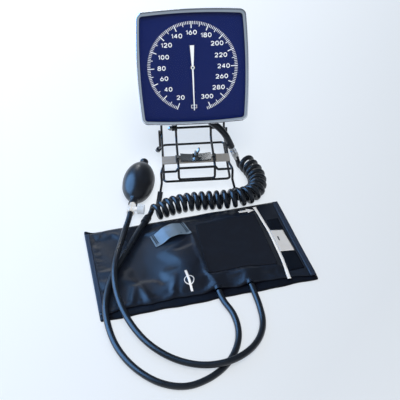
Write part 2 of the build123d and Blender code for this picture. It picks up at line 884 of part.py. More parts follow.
# Yoke: a bent wire from the rod's outer eyes up the back of the case and across
yoke_n = -case_depth - wire_d / 2
yoke_lean_v = (rod_y - yoke_n * head.z_dir.Y) / head.y_dir.Y
yoke_lean = on_head(0, yoke_lean_v, yoke_n) - on_stand(0, 0, 0)
yoke_top = on_head(0, yoke_top_v, yoke_n) - on_stand(0, 0, 0)
yoke_half_points = [
    (-yoke_half, rod_y, rod_z + rod_r + wire_d / 2),
    (-yoke_half, rod_y, yoke_lean.Z),
    (-yoke_half, yoke_top.Y, yoke_top.Z),
]
yoke_bends = [yoke_low_bend, yoke_top_bend]
yoke_points = [on_stand(*point) for point in mirrored(yoke_half_points)]
with BuildPart() as yoke:
    add(bent_wire(yoke_points, yoke_bends + yoke_bends[::-1], wire_d))
    for side in (-1, 1):
        eye = Plane(origin=on_stand(side * yoke_half, rod_y, rod_z), z_dir=(1, 0, 0))
        with BuildSketch(eye):
            Circle(eye_r)
        extrude(amount=eye_wide / 2, both=True)
        with BuildSketch(eye):
            Circle(rod_r + running_gap)
        extrude(amount=wire_d, both=True, mode=Mode.SUBTRACT)
yoke.part.label = "yoke"
export_step(yoke.part, "parts/yoke.step")

# Clips that hold the yoke on the case, with two screws each
clip_half = wire_d / 2 + clip_thick + clip_ear
clip_ear_u = wire_d / 2 + clip_thick + clip_ear / 2
with BuildPart() as yoke_clips:
    for side in (-1, 1):
        clip_plane = Plane(
            origin=on_head(side * yoke_half, clip_v - clip_wide / 2, -case_depth),
            x_dir=head.x_dir,
            z_dir=head.y_dir,
        )
        with BuildSketch(clip_plane):
            with Locations((0, clip_thick / 2)):
                Rectangle(2 * clip_half, clip_thick)
            with Locations((0, wire_d / 4)):
                Rectangle(wire_d + 2 * clip_thick, wire_d / 2)
            with Locations((0, wire_d / 2)):
                Circle(wire_d / 2 + clip_thick)
            with Locations((0, -wire_d)):
                Rectangle(2 * clip_half, 2 * wire_d, mode=Mode.SUBTRACT)
            with Locations((0, wire_d / 2)):
                Circle(wire_d / 2 + running_gap, mode=Mode.SUBTRACT)
            with Locations((0, 0)):
                Rectangle(wire_d + 2 * running_gap, wire_d, mode=Mode.SUBTRACT)
        extrude(amount=clip_wide)
        with BuildSketch(head.offset(-case_depth)):
            with Locations(*[(side * yoke_half + ear * clip_ear_u, clip_v) for ear in (-1, 1)]):
                Circle(clip_screw_r)
        extrude(amount=-2 * clip_thick, mode=Mode.SUBTRACT)
yoke_clips.part.label = "yoke_clips"
export_step(yoke_clips.part, "parts/yoke_clips.step")

clip_screw_places = [
    (side * yoke_half + ear * clip_ear_u, clip_v) for side in (-1, 1) for ear in (-1, 1)
]
with BuildPart() as clip_screws:
    with BuildSketch(head.offset(-case_depth)):
        with Locations(*clip_screw_places):
            Circle(clip_screw_r)
    extrude(amount=-clip_thick)
    with BuildSketch(head.offset(-case_depth - clip_thick)):
        with Locations(*clip_screw_places):
            Circle(clip_screw_head_r)
    extrude(amount=-clip_screw_head)
    heads = clip_screws.faces().sort_by(Axis(tuple(head.origin), tuple(head.z_dir)))[:4].edges()
    fillet(heads, clip_screw_head / 3)
clip_screws.part.label = "clip_screws"
export_step(clip_screws.part, "parts/clip_screws.step")

# Clamp strap: a sagging bridge whose tabs cross the hanger's wires and end in flanges outside them
hanger_top_z = hanger_z + wire_d / 2
strap_in = hanger_half - wire_d / 2 - seat_gap
strap_out = hanger_half + wire_d / 2 + seat_gap
strap_low_z = hanger_top_z - strap_sag
with BuildPart() as clamp_strap:
    strap_back = on_stand(0, plate_y + strap_wide / 2, 0)
    with BuildSketch(Plane(origin=strap_back, x_dir=(1, 0, 0), z_dir=(0, -1, 0))):
        with BuildLine():
            Line((-strap_out, hanger_top_z), (-strap_in, hanger_top_z))
            ThreePointArc((-strap_in, hanger_top_z), (0, strap_low_z), (strap_in, hanger_top_z))
            Line((strap_in, hanger_top_z), (strap_out, hanger_top_z))
            Polyline(
                (strap_out, hanger_top_z),
                (strap_out, strip_z + strip_thick),
                (strap_out + strap_thick, strip_z + strip_thick),
                (strap_out + strap_thick, hanger_top_z + strap_thick),
                (strap_in, hanger_top_z + strap_thick),
            )
            ThreePointArc(
                (strap_in, hanger_top_z + strap_thick),
                (0, strap_low_z + strap_thick),
                (-strap_in, hanger_top_z + strap_thick),
            )
            Polyline(
                (-strap_in, hanger_top_z + strap_thick),
                (-strap_out - strap_thick, hanger_top_z + strap_thick),
                (-strap_out - strap_thick, strip_z + strip_thick),
                (-strap_out, strip_z + strip_thick),
                (-strap_out, hanger_top_z),
            )
        make_face()
    extrude(amount=strap_wide)
    for side in (-1, 1):
        for edge in (-1, 1):
            notch_y = plate_y + edge * (strap_tab + strap_wide) / 4
            notch_wide = (strap_wide - strap_tab) / 2
            with BuildSketch(Plane(on_stand(side * hanger_half, notch_y, hanger_z))):
                Rectangle(strap_out * 2 - strap_in * 2, notch_wide)
            extrude(amount=wire_d, mode=Mode.SUBTRACT)
    with BuildSketch(Plane(on_stand(0, plate_y, strip_z))):
        Circle(bolt_r + running_gap)
    extrude(amount=2 * wire_d, mode=Mode.SUBTRACT)
clamp_strap.part.label = "clamp_strap"
export_step(clamp_strap.part, "parts/clamp_strap.step")

# Clamp bolt, washer and wing nut
bolt_low_z = strip_z - bolt_head
with BuildPart() as clamp_bolt:
    with BuildSketch(Plane(on_stand(0, plate_y, bolt_low_z))):
        Circle(bolt_head_r)
    extrude(amount=bolt_head)
    fillet(clamp_bolt.faces().sort_by(Axis.Z)[0].edges(), bolt_head / 2)
    with BuildSketch(Plane(on_stand(0, plate_y, strip_z))):
        Circle(bolt_r)
    extrude(amount=strap_low_z + strap_thick + washer_thick + bolt_top - strip_z)
clamp_bolt.part.label = "clamp_bolt"
export_step(clamp_bolt.part, "parts/clamp_bolt.step")

washer_z = strap_low_z + strap_thick
with BuildPart() as clamp_washer:
    with BuildSketch(Plane(on_stand(0, plate_y, washer_z + seat_gap / 2))):
        Circle(washer_r)
        Circle(bolt_r + running_gap, mode=Mode.SUBTRACT)
    extrude(amount=washer_thick)
clamp_washer.part.label = "clamp_washer"
export_step(clamp_washer.part, "parts/clamp_washer.step")

wing_z = washer_z + washer_thick + seat_gap
wing_plane = Plane(on_stand(0, plate_y, wing_z)).rotated((0, 0, wing_turn))
with BuildPart() as wing_nut:
    with BuildSketch(wing_plane):
        Circle(wing_hub_r)
    extrude(amount=wing_hub)
    wing_wall = Plane(origin=wing_plane.origin, x_dir=wing_plane.x_dir, z_dir=wing_plane.y_dir)
    with BuildSketch(wing_wall):
        for side in (-1, 1):
            with BuildLine():
                Polyline(
                    (side * wing_root, -wing_root_low),
                    (side * wing_span / 2, -wing_hub),
                    (side * wing_span / 2, -wing_high),
                    (side * wing_span / 3, -wing_high),
                    (side * wing_root, -wing_hub),
                    close=True,
                )
            make_face()
    extrude(amount=wing_thick / 2, both=True)
    with BuildSketch(wing_plane):
        Circle(bolt_r + running_gap)
    extrude(amount=wing_high, mode=Mode.SUBTRACT)
wing_nut.part.label = "wing_nut"
export_step(wing_nut.part, "parts/wing_nut.step")

# Hose of the gauge head: from the inlet's barb, down in front of the rod and over the rail
hose_start = on_head(inlet_u, inlet_v, inlet_out_n) + inlet_way * (inlet_body_r + inlet_barb_long)
hose_end = Vector(63.8, 112.1, 39.0)
head_hose_points = [
    hose_start,
    hose_start + inlet_way * inlet_run,
    Vector(36.0, 120.3, 77.2),
    Vector(46.0, 117.9, 70.0),
    Vector(54.0, 115.5, 60.4),
    Vector(59.6, 113.3, 49.6),
    hose_end,
]
head_hose_radii = corner_radii(head_hose_points, corner_share)
with BuildPart() as head_hose:
    add(bent_wire(head_hose_points, head_hose_radii, head_hose_d))
head_hose.part.label = "head_hose"
export_step(head_hose.part, "parts/head_hose.step")

# Connector: socket on the head's hose, lock ring that turns on it, and hexagon plug on the coil
joint_way = (hose_end - head_hose_points[-2]).normalized()


def joint_plane(along):
    """A plane across the connector, at a distance along it from the end of the head's hose."""
    return Plane(origin=hose_end + joint_way * along, z_dir=joint_way)


joint_neck_at = joint_socket_long
joint_hex_at = joint_neck_at + joint_neck_long
joint_tail_at = joint_hex_at + joint_hex_long
joint_end_at = joint_tail_at + joint_tail_long
with BuildPart() as connector_socket:
    with BuildSketch(joint_plane(0)):
        Circle(joint_tail_r)
    extrude(amount=joint_socket_long)
    with BuildSketch(joint_plane(joint_neck_at)):
        Circle(joint_neck_r)
    extrude(amount=joint_neck_long)
connector_socket.part.label = "connector_socket"
export_step(connector_socket.part, "parts/connector_socket.step")

with BuildPart() as connector_ring:
    with BuildSketch(joint_plane(joint_neck_at + side_gap)):
        Circle(joint_ring_r)
        Circle(joint_neck_r + running_gap, mode=Mode.SUBTRACT)
    extrude(amount=joint_ring_long)
    ring_rims = connector_ring.edges().filter_by(GeomType.CIRCLE).sort_by(SortBy.RADIUS)[-2:]
    fillet(ring_rims, joint_ring_round)
connector_ring.part.label = "connector_ring"
export_step(connector_ring.part, "parts/connector_ring.step")

with BuildPart() as connector_plug:
    with BuildSketch(joint_plane(joint_hex_at)):
        RegularPolygon(joint_hex_r, 6)
    extrude(amount=joint_hex_long)
    with BuildSketch(joint_plane(joint_tail_at)):
        Circle(joint_tail_r)
    extrude(amount=joint_tail_long)
connector_plug.part.label = "connector_plug"
export_step(connector_plug.part, "parts/connector_plug.step")

# Coil: a helix about a spine that runs forward, turns left over the cuff's edge and lies on the table
coil_r = (coil_outer - coil_d) / 2
coil_z = coil_outer / 2 + seat_gap
coil_spine_points = [
    Vector(82.5, 110.9, coil_z),
    Vector(90.5, 92.9, coil_z),
    Vector(95.2, 75.4, coil_z),
    Vector(95.6, 58.4, coil_z),
    Vector(91.4, 41.9, coil_z + 0.8),
    Vector(81.0, 27.7, coil_z + 2.8),
    Vector(64.0, 19.5, coil_z + 5.4),
    Vector(43.0, 19.7, coil_z + 2.6),
    Vector(20.0, 22.5, coil_z + 0.6),
    Vector(-6.0, 22.1, coil_z),
    Vector(-30.0, 15.5, coil_z),
    Vector(-53.0, 4.4, coil_z),
]
with BuildLine() as coil_spine:
    FilletPolyline(*coil_spine_points, radius=corner_radii(coil_spine_points, spine_share))
spine = coil_spine.line
quarter_count = 4 * coil_turns


def coil_point(share):
    """A point of the helix at a share of its length, 0 at the connector and 1 at the cuff's tail."""
    along = spine % share
    across = Vector(along.Y, -along.X, 0).normalized()
    turned = share + coil_tighter * share * (share - 1)
    angle = radians(coil_start_angle) - 2 * pi * coil_turns * turned
    tapered = max(0.0, (share - 1 + coil_taper_share) / coil_taper_share)
    size = coil_r * (1 - (1 - coil_end_share) * tapered)
    centre = (spine @ share) - Vector(0, 0, coil_r - size)
    return centre + across * (size * cos(angle)) + Vector(0, 0, size * sin(angle))


def coil_tangent(share):
    """The helix's direction at a share of its length, from two points close to it."""
    low = max(share - coil_step, 0.0)
    high = min(share + coil_step, 1.0)
    return (coil_point(high) - coil_point(low)).normalized()


def biarc(start, start_way, end, end_way):
    """Two arcs that leave start along start_way and reach end along end_way."""
    chord = end - start
    ways = start_way + end_way
    bend = 2 * (1 - start_way.dot(end_way))
    reach = chord.dot(ways)
    length = (-reach + sqrt(reach**2 + bend * chord.dot(chord))) / bend
    near = start + start_way * length
    far = end - end_way * length
    middle = (near + far) / 2
    TangentArc(start, middle, tangent=start_way)
    TangentArc(middle, end, tangent=(far - near).normalized())


coil_lead = hose_end + joint_way * joint_end_at
coil_first = coil_lead + joint_way * coil_d
tail_points = [
    Vector(-62.5, -6.1, 11.4),
    Vector(-71.5, -24.1, 11.4),
    Vector(-82.0, -49.1, 11.0),
    Vector(-93.0, -77.1, 10.8),
    Vector(-105.0, -104.1, 10.6),
    Vector(-111.5, -132.1, 10.8),
    Vector(-113.6, -163.1, 12.0),
    Vector(-108.2, -195.1, 11.6),
    Vector(-98.0, -223.1, 9.8),
    Vector(-80.0, -249.1, 8.0),
    Vector(-54.0, -269.1, 5.4),
    Vector(-25.0, -275.6, 3.8),
    Vector(1.0, -266.1, 3.8),
    Vector(21.0, -249.6, 3.8),
    Vector(33.5, -229.1, 3.8),
    Vector(39.6, -205.1, 3.8),
    Vector(36.5, -177.1, 4.4),
]
port_front_b = -cuff_wide / 2 + cuff_step - port_out
port_ends = [on_cuff(a, port_front_b, port_z) for a in port_a]
port_way = (on_cuff(0, 1, 0) - on_cuff(0, 0, 0)).normalized()
tail_way = (tail_points[1] - tail_points[0]).normalized()
coil_last = tail_points[0] - tail_way * coil_d
with BuildPart() as coil_hose:
    with BuildLine() as coil_path:
        Line(coil_lead, coil_first)
        biarc(coil_first, joint_way, coil_point(0), coil_tangent(0))
        for quarter in range(quarter_count):
            here = quarter / quarter_count
            there = (quarter + 1) / quarter_count
            biarc(coil_point(here), coil_tangent(here), coil_point(there), coil_tangent(there))
        biarc(coil_point(1), coil_tangent(1), coil_last, tail_way)
        Line(coil_last, tail_points[0])
    with BuildSketch(Plane(origin=coil_lead, z_dir=joint_way)):
        Circle(coil_d / 2)
    sweep(path=coil_path.wires()[0])
coil_hose.part.label = "coil_hose"
export_step(coil_hose.part, "parts/coil_hose.step")

# Ribbed sleeve where the coil's straight end meets the plain hose
with BuildPart() as tail_sleeve:
    sleeve_plane = Plane(origin=tail_points[0] - tail_way * sleeve_before, z_dir=tail_way)
    sleeve_long = sleeve_before + sleeve_after
    with BuildSketch(sleeve_plane):
        Circle(tube_d / 2 + sleeve_wall)
    extrude(amount=sleeve_long)
    for ring in range(sleeve_rings):
        ring_at = (ring + 0.5) * sleeve_long / sleeve_rings - sleeve_ring_long / 2
        with BuildSketch(sleeve_plane.offset(ring_at)):
            Circle(tube_d / 2 + sleeve_wall + sleeve_ring)
        extrude(amount=sleeve_ring_long)
    with BuildSketch(sleeve_plane):
        Circle(tube_d / 2 + running_gap)
    extrude(amount=sleeve_long, mode=Mode.SUBTRACT)
tail_sleeve.part.label = "tail_sleeve"
export_step(tail_sleeve.part, "parts/tail_sleeve.step")

# Tail of the coil: across the cuff, round on the table and into the cuff's left port
tail_points = tail_points + [port_ends[0] - port_way * port_run, port_ends[0]]
tail_radii = corner_radii(tail_points, corner_share)
with BuildPart() as tail_hose:
    add(bent_wire(tail_points, tail_radii, tube_d))
tail_hose.part.label = "tail_hose"
export_step(tail_hose.part, "parts/tail_hose.step")

# Bulb: a hollow rubber pear that lies on its side, with a neck at each end
bulb_way = Vector(
    cos(radians(bulb_heading)) * cos(radians(bulb_pitch)),
    sin(radians(bulb_heading)) * cos(radians(bulb_pitch)),
    sin(radians(bulb_pitch)),
)
bulb_side = Vector(sin(radians(bulb_heading)), -cos(radians(bulb_heading)), 0)
bulb_centre = Vector(bulb_x, bulb_y, bulb_z)


def bulb_plane(along):
    """A plane across the bulb's axis, at a distance from its centre towards the inlet end."""
    return Plane(origin=bulb_centre + bulb_way * along, x_dir=bulb_side, z_dir=bulb_way)


bulb_section = Plane(origin=bulb_centre, x_dir=bulb_side, z_dir=bulb_side.cross(bulb_way))
with BuildPart() as bulb:
    with BuildSketch(bulb_section):
        Ellipse(bulb_r, bulb_half_long)
        Rectangle(2 * neck_r, 2 * neck_long)
        Ellipse(bulb_r - bulb_wall, bulb_half_long - bulb_wall, mode=Mode.SUBTRACT)
        Rectangle(2 * neck_bore_r, 2 * neck_long, mode=Mode.SUBTRACT)
        with Locations((-bulb_r, 0)):
            Rectangle(2 * bulb_r, 4 * neck_long, mode=Mode.SUBTRACT)
    revolve(axis=Axis(tuple(bulb_centre), tuple(bulb_way)))
bulb.part.label = "bulb"
export_step(bulb.part, "parts/bulb.step")

# Inlet valve in the far neck: housing with a seat, and the ball that lifts off it
flange_at = neck_long
chamber_low = flange_at - inlet_plug_long
with BuildPart() as inlet_valve:
    with BuildSketch(bulb_plane(chamber_low)):
        Circle(neck_bore_r - running_gap)
    extrude(amount=inlet_plug_long)
    with BuildSketch(bulb_plane(flange_at)):
        Circle(inlet_flange_r)
    extrude(amount=inlet_flange)
    with BuildSketch(bulb_plane(chamber_low)):
        Circle(inlet_hole_r)
    extrude(amount=inlet_plug_long + inlet_flange, mode=Mode.SUBTRACT)
    with BuildSketch(bulb_plane(chamber_low + inlet_plug_long / 4)):
        Circle(ball_chamber_r)
    extrude(amount=inlet_plug_long / 2, mode=Mode.SUBTRACT)
inlet_valve.part.label = "inlet_valve"
export_step(inlet_valve.part, "parts/inlet_valve.step")

ball_at = chamber_low + inlet_plug_long * 3 / 4 - ball_r - side_gap
with BuildPart() as inlet_ball:
    ball_centre = bulb_centre + bulb_way * ball_at
    with BuildSketch(Plane(origin=ball_centre, x_dir=bulb_side, z_dir=bulb_side.cross(bulb_way))):
        Circle(ball_r)
        with Locations((-ball_r, 0)):
            Rectangle(2 * ball_r, 2 * ball_r, mode=Mode.SUBTRACT)
    revolve(axis=Axis(tuple(bulb_centre), tuple(bulb_way)))
inlet_ball.part.label = "inlet_ball"
export_step(inlet_ball.part, "parts/inlet_ball.step")

# Release valve at the near neck: body, side boss and the hose collar
valve_top_at = -neck_long
valve_low_at = valve_top_at - valve_long
boss_at = valve_low_at + boss_back - boss_r
boss_plane = Plane(origin=bulb_centre + bulb_way * boss_at, x_dir=bulb_way, z_dir=bulb_side)
with BuildPart() as release_valve:
    with BuildSketch(bulb_plane(valve_top_at)):
        Circle(neck_bore_r - running_gap)
    extrude(amount=valve_plug_long)
    with BuildSketch(bulb_plane(valve_low_at)):
        Circle(valve_r)
    extrude(amount=valve_long)
    with BuildSketch(bulb_plane(valve_low_at)):
        Circle(valve_collar_r)
    extrude(amount=valve_collar)
    with BuildSketch(boss_plane):
        Circle(boss_r)
    extrude(amount=boss_out)
    with BuildSketch(bulb_plane(valve_low_at)):
        Circle(valve_bore_r)
    extrude(amount=valve_long + valve_plug_long, mode=Mode.SUBTRACT)
    with BuildSketch(boss_plane.offset(screw_seat)):
        Circle(screw_r + running_gap)
    extrude(amount=boss_out, mode=Mode.SUBTRACT)
release_valve.part.label = "release_valve"
export_step(release_valve.part, "parts/release_valve.step")

# Release screw: a thumb knob with finger ribs on a stem with a conical tip
knob_plane = boss_plane.offset(boss_out + knob_gap)
with BuildPart() as release_screw:
    with BuildSketch(knob_plane):
        Circle(knob_r - knob_rib)
        with PolarLocations(knob_r - knob_rib, knob_ribs):
            Circle(knob_rib)
    extrude(amount=knob_long)
    with BuildSketch(boss_plane.offset(screw_seat + screw_r)):
        Circle(screw_r)
    extrude(amount=boss_out + knob_gap - screw_seat - screw_r)
    with BuildSketch(boss_plane.offset(screw_seat + screw_r)):
        Circle(screw_r)
    with BuildSketch(boss_plane.offset(screw_seat + side_gap)):
        Circle(screw_r / 4)
    loft()
release_screw.part.label = "release_screw"
export_step(release_screw.part, "parts/release_screw.step")

# Hose from the release valve, across the cuff, over the other hose and into the right port
valve_end = bulb_centre + bulb_way * valve_low_at
bulb_hose_points = [
    valve_end,
    valve_end - bulb_way * valve_run,
    Vector(-91.6, -31.1, 15.4),
    Vector(-96.0, -58.1, 17.0),
    Vector(-100.6, -83.1, 20.6),
    Vector(-103.0, -109.1, 22.0),
    Vector(-101.6, -136.1, 21.6),
    Vector(-95.0, -167.1, 20.0),
    Vector(-82.0, -197.1, 17.4),
    Vector(-63.0, -224.1, 14.4),
    Vector(-36.0, -243.6, 10.6),
    Vector(-6.0, -254.1, 10.6),
    Vector(22.0, -253.1, 12.8),
    Vector(45.0, -239.6, 10.8),
    Vector(61.0, -218.1, 6.4),
    Vector(69.0, -193.1, 4.0),
    Vector(67.6, -166.1, 4.4),
    port_ends[1] - port_way * port_run,
    port_ends[1],
]
bulb_hose_radii = corner_radii(bulb_hose_points, corner_share)
with BuildPart() as bulb_hose:
    add(bent_wire(bulb_hose_points, bulb_hose_radii, tube_d))
bulb_hose.part.label = "bulb_hose"
export_step(bulb_hose.part, "parts/bulb_hose.step")

# Cuff cloth: one piece folded at its left end, with a pouch for the bladder in the upper flap
flap_z = cloth + fold_gap
flap_top_z = flap_z + cloth
pouch_top_z = flap_top_z + pouch_high
flap_front = -cuff_wide / 2 + cuff_step
flap_back = cuff_wide / 2 - flap_back_step
flap_middle = (flap_front + flap_back) / 2
flap_wide = flap_back - flap_front
pouch_a = (pouch_left + pouch_right) / 2
pouch_b = (pouch_front + pouch_back) / 2
pouch_long = pouch_right - pouch_left
pouch_wide = pouch_back - pouch_front
cavity_low_z = flap_z + pouch_skin
cavity_high_z = pouch_top_z - pouch_skin
port_line_b = flap_front - port_out


def port_plane(b):
    """An upright plane across the cuff's width at b, that looks along the width."""
    return Plane(origin=on_cuff(0, b, port_z), x_dir=cuff.x_dir, z_dir=cuff.y_dir)


def port_sketch_places():
    """The two ports' places in such a plane."""
    return [(a, 0) for a in port_a]


with BuildPart() as cuff_cloth:
    with BuildSketch(cuff):
        RectangleRounded(cuff_long, cuff_wide, cuff_round)
    extrude(amount=cloth)
    with BuildSketch(cuff.offset(flap_z)):
        with Locations((-flap_short / 2, flap_middle)):
            RectangleRounded(cuff_long - flap_short, flap_wide, cuff_round)
    extrude(amount=cloth)
    with BuildSketch(cuff.offset(cloth)):
        with Locations((-cuff_long / 2 + cloth, flap_middle)):
            Rectangle(2 * cloth, flap_wide - 2 * cuff_round)
    extrude(amount=fold_gap)
    with BuildSketch(cuff.offset(flap_top_z)):
        with Locations((pouch_a, pouch_b)):
            RectangleRounded(pouch_long, pouch_wide, 2 * pouch_slope)
    with BuildSketch(cuff.offset(pouch_top_z)):
        with Locations((pouch_a, pouch_b)):
            RectangleRounded(pouch_long - 2 * pouch_slope, pouch_wide - 2 * pouch_slope, pouch_slope)
    loft(ruled=True)
    with BuildSketch(port_plane(flap_front)):
        with Locations(*port_sketch_places()):
            Circle(sleeve_r)
    extrude(amount=port_in - port_out)
    with BuildSketch(cuff.offset(cavity_low_z)):
        with Locations((pouch_a, pouch_b)):
            RectangleRounded(pouch_long - 2 * pouch_slope, pouch_wide - 2 * pouch_slope, pouch_slope)
    extrude(amount=cavity_high_z - cavity_low_z, mode=Mode.SUBTRACT)
    with BuildSketch(port_plane(port_line_b)):
        with Locations(*port_sketch_places()):
            Circle(tube_d / 2 + running_gap)
    extrude(amount=port_in, mode=Mode.SUBTRACT)
cuff_cloth.part.label = "cuff_cloth"
export_step(cuff_cloth.part, "parts/cuff_cloth.step")

# Bladder inside the pouch, with its two port stubs
with BuildPart() as bladder:
    with BuildSketch(cuff.offset(cavity_low_z + bladder_gap)):
        with Locations((pouch_a, pouch_b)):
            bladder_less = 2 * pouch_slope + 2 * bladder_gap
            RectangleRounded(pouch_long - bladder_less, pouch_wide - bladder_less, pouch_slope)
    extrude(amount=cavity_high_z - cavity_low_z - 2 * bladder_gap)
    with BuildSketch(port_plane(port_line_b)):
        with Locations(*port_sketch_places()):
            Circle(tube_d / 2)
    extrude(amount=port_in)
    with BuildSketch(port_plane(port_line_b)):
        with Locations(*port_sketch_places()):
            Circle(valve_bore_r)
    extrude(amount=port_in, mode=Mode.SUBTRACT)
bladder.part.label = "bladder"
export_step(bladder.part, "parts/bladder.step")

# Hem tape bound over the right edge of the upper flap
flap_right = cuff_long / 2 - flap_short
with BuildPart() as cuff_hem:
    with BuildSketch(cuff.offset(flap_top_z)):
        with Locations((flap_right - hem_wide / 2, flap_middle)):
            Rectangle(hem_wide, flap_wide - 2 * cuff_round)
    extrude(amount=hem_thick)
    with BuildSketch(cuff.offset(flap_z)):
        with Locations((flap_right + hem_thick / 2, flap_middle)):
            Rectangle(hem_thick, flap_wide - 2 * cuff_round)
    extrude(amount=cloth + hem_thick)
cuff_hem.part.label = "cuff_hem"
export_step(cuff_hem.part, "parts/cuff_hem.step")

# Loop panel on the pouch, hook strip and tag beside it
with BuildPart() as loop_panel:
    with BuildSketch(cuff.offset(pouch_top_z)):
        with Locations(((panel_left + panel_right) / 2, (panel_front + panel_back) / 2)):
            Rectangle(panel_right - panel_left, panel_back - panel_front)
    extrude(amount=panel_thick)
loop_panel.part.label = "loop_panel"
export_step(loop_panel.part, "parts/loop_panel.step")

with BuildPart() as hook_strip:
    with BuildSketch(cuff.offset(flap_top_z)):
        with Locations((hook_left + hook_wide / 2, (hook_front + hook_back) / 2)):
            RectangleRounded(hook_wide, hook_back - hook_front, cuff_round / 2)
    extrude(amount=hook_thick)
hook_strip.part.label = "hook_strip"
export_step(hook_strip.part, "parts/hook_strip.step")

with BuildPart() as size_tag:
    with BuildSketch(cuff.offset(flap_top_z + hook_thick)):
        with Locations((tag_left + tag_wide / 2, (tag_front + tag_back) / 2)):
            RectangleRounded(tag_wide, tag_back - tag_front, cuff_round / 3)
    extrude(amount=tag_thick)
size_tag.part.label = "size_tag"
export_step(size_tag.part, "parts/size_tag.step")

# Hanging tape: sewn down at both ends and arched between them
tape_spot = on_cuff(*tape_centre, pouch_top_z)
tape_angle = radians(cuff_turn + tape_turn)
tape_along = Vector(cos(tape_angle), sin(tape_angle), 0)
tape_across = Vector(sin(tape_angle), -cos(tape_angle), 0)
tape_side = Plane(origin=tape_spot - tape_across * (tape_wide / 2), x_dir=tape_along, z_dir=tape_across)
tape_end = tape_long / 2
tape_in = tape_end - tape_flat
with BuildPart() as hanging_tape:
    with BuildSketch(tape_side):
        with BuildLine():
            Line((-tape_end, 0), (-tape_in, 0))
            ThreePointArc((-tape_in, 0), (0, tape_arch), (tape_in, 0))
            Polyline((tape_in, 0), (tape_end, 0), (tape_end, tape_thick), (tape_in, tape_thick))
            ThreePointArc((tape_in, tape_thick), (0, tape_arch + tape_thick), (-tape_in, tape_thick))
            Polyline((-tape_in, tape_thick), (-tape_end, tape_thick), (-tape_end, 0))
        make_face()
    extrude(amount=tape_wide)
hanging_tape.part.label = "hanging_tape"
export_step(hanging_tape.part, "parts/hanging_tape.step")

# Check prints for the cords
for name, points, radii, diameter, part in (
    ("head_hose", head_hose_points, head_hose_radii, head_hose_d, head_hose.part),
    ("tail_hose", tail_points, tail_radii, tube_d, tail_hose.part),
    ("bulb_hose", bulb_hose_points, bulb_hose_radii, tube_d, bulb_hose.part),
):
    runs = [(b - a).length for a, b in zip(points, points[1:])]
    with BuildLine() as line:
        FilletPolyline(*points, radius=radii)
    ratio = part.volume / (pi * diameter**2 / 4 * line.wires()[0].length)
    print(name, "length", round(line.wires()[0].length), "radii", [round(r) for r in radii])
    print(name, "runs", [round(run) for run in runs], "volume over section times length", round(ratio, 3))
samples = [coil_point(k / (16 * coil_turns)) for k in range(16 * coil_turns + 1)]
near_gaps = []
for i in range(len(samples)):
    gap = min([(samples[i] - samples[j]).length for j in range(i + 8, len(samples))] or [coil_outer])
    near_gaps.append(gap - coil_d)
print("spine", round(spine.wires()[0].length), "coil's least gap to itself", round(min(near_gaps), 2))
print("gap per turn", [round(min(near_gaps[16 * k : 16 * k + 16]), 1) for k in range(coil_turns)])
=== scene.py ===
"""Looks of the desk sphygmomanometer: finishes, cuff, bulb, hoses, dial print, light and camera."""
import json
from math import cos, pi, radians, sin

import bpy
import numpy as np
from mathutils import Matrix, Vector


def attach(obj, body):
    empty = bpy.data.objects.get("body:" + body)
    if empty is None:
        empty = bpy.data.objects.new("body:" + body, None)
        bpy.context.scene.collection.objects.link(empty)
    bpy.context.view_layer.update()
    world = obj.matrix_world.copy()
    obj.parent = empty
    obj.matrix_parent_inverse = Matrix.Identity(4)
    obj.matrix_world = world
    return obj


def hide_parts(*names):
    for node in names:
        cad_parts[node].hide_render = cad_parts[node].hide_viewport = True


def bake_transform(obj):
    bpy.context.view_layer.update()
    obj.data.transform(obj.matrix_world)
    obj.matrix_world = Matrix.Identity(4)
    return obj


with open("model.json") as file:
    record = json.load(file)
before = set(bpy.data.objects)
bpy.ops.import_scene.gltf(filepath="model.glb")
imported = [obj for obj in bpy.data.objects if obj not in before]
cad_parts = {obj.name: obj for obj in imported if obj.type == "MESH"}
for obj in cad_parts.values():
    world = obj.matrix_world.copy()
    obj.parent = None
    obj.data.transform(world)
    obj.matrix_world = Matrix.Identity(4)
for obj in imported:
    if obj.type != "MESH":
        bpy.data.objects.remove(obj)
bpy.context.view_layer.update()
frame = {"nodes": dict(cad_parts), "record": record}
nodes = frame["nodes"]

MM = 0.001
BASE = "base"
HEAD = "head"

# Places of the main groups, in millimetres, as in the part's source
HEAD_CENTRE = Vector((9.4, 111.9, 171.3))
HEAD_LEAN = radians(20.0)
CUFF_CENTRE = Vector((0.0, -74.1, 0.0))
CUFF_TURN = radians(10.1)
BULB_CENTRE = Vector((-72.7, 61.4, 22.3))
BULB_HEADING = radians(79.5)
BULB_PITCH = radians(3.5)

HEAD_U = Vector((1, 0, 0))
HEAD_V = Vector((0, sin(HEAD_LEAN), cos(HEAD_LEAN)))
HEAD_N = Vector((0, -cos(HEAD_LEAN), sin(HEAD_LEAN)))
CUFF_A = Vector((cos(CUFF_TURN), sin(CUFF_TURN), 0))
CUFF_B = Vector((-sin(CUFF_TURN), cos(CUFF_TURN), 0))
BULB_WAY = Vector(
    (cos(BULB_HEADING) * cos(BULB_PITCH), sin(BULB_HEADING) * cos(BULB_PITCH), sin(BULB_PITCH))
)


# Small mesh helpers


def to_world(points, origin, x_way, y_way, z_way):
    """Local points in millimetres, as the scene's points in metres."""
    points = np.asarray(points, float)
    axes = np.array([x_way, y_way, z_way], float)
    return (np.array(origin) + points @ axes) * MM


def head_points(points):
    return to_world(points, HEAD_CENTRE, HEAD_U, HEAD_V, HEAD_N)


def cuff_points(points):
    return to_world(points, CUFF_CENTRE, CUFF_A, CUFF_B, (0, 0, 1))


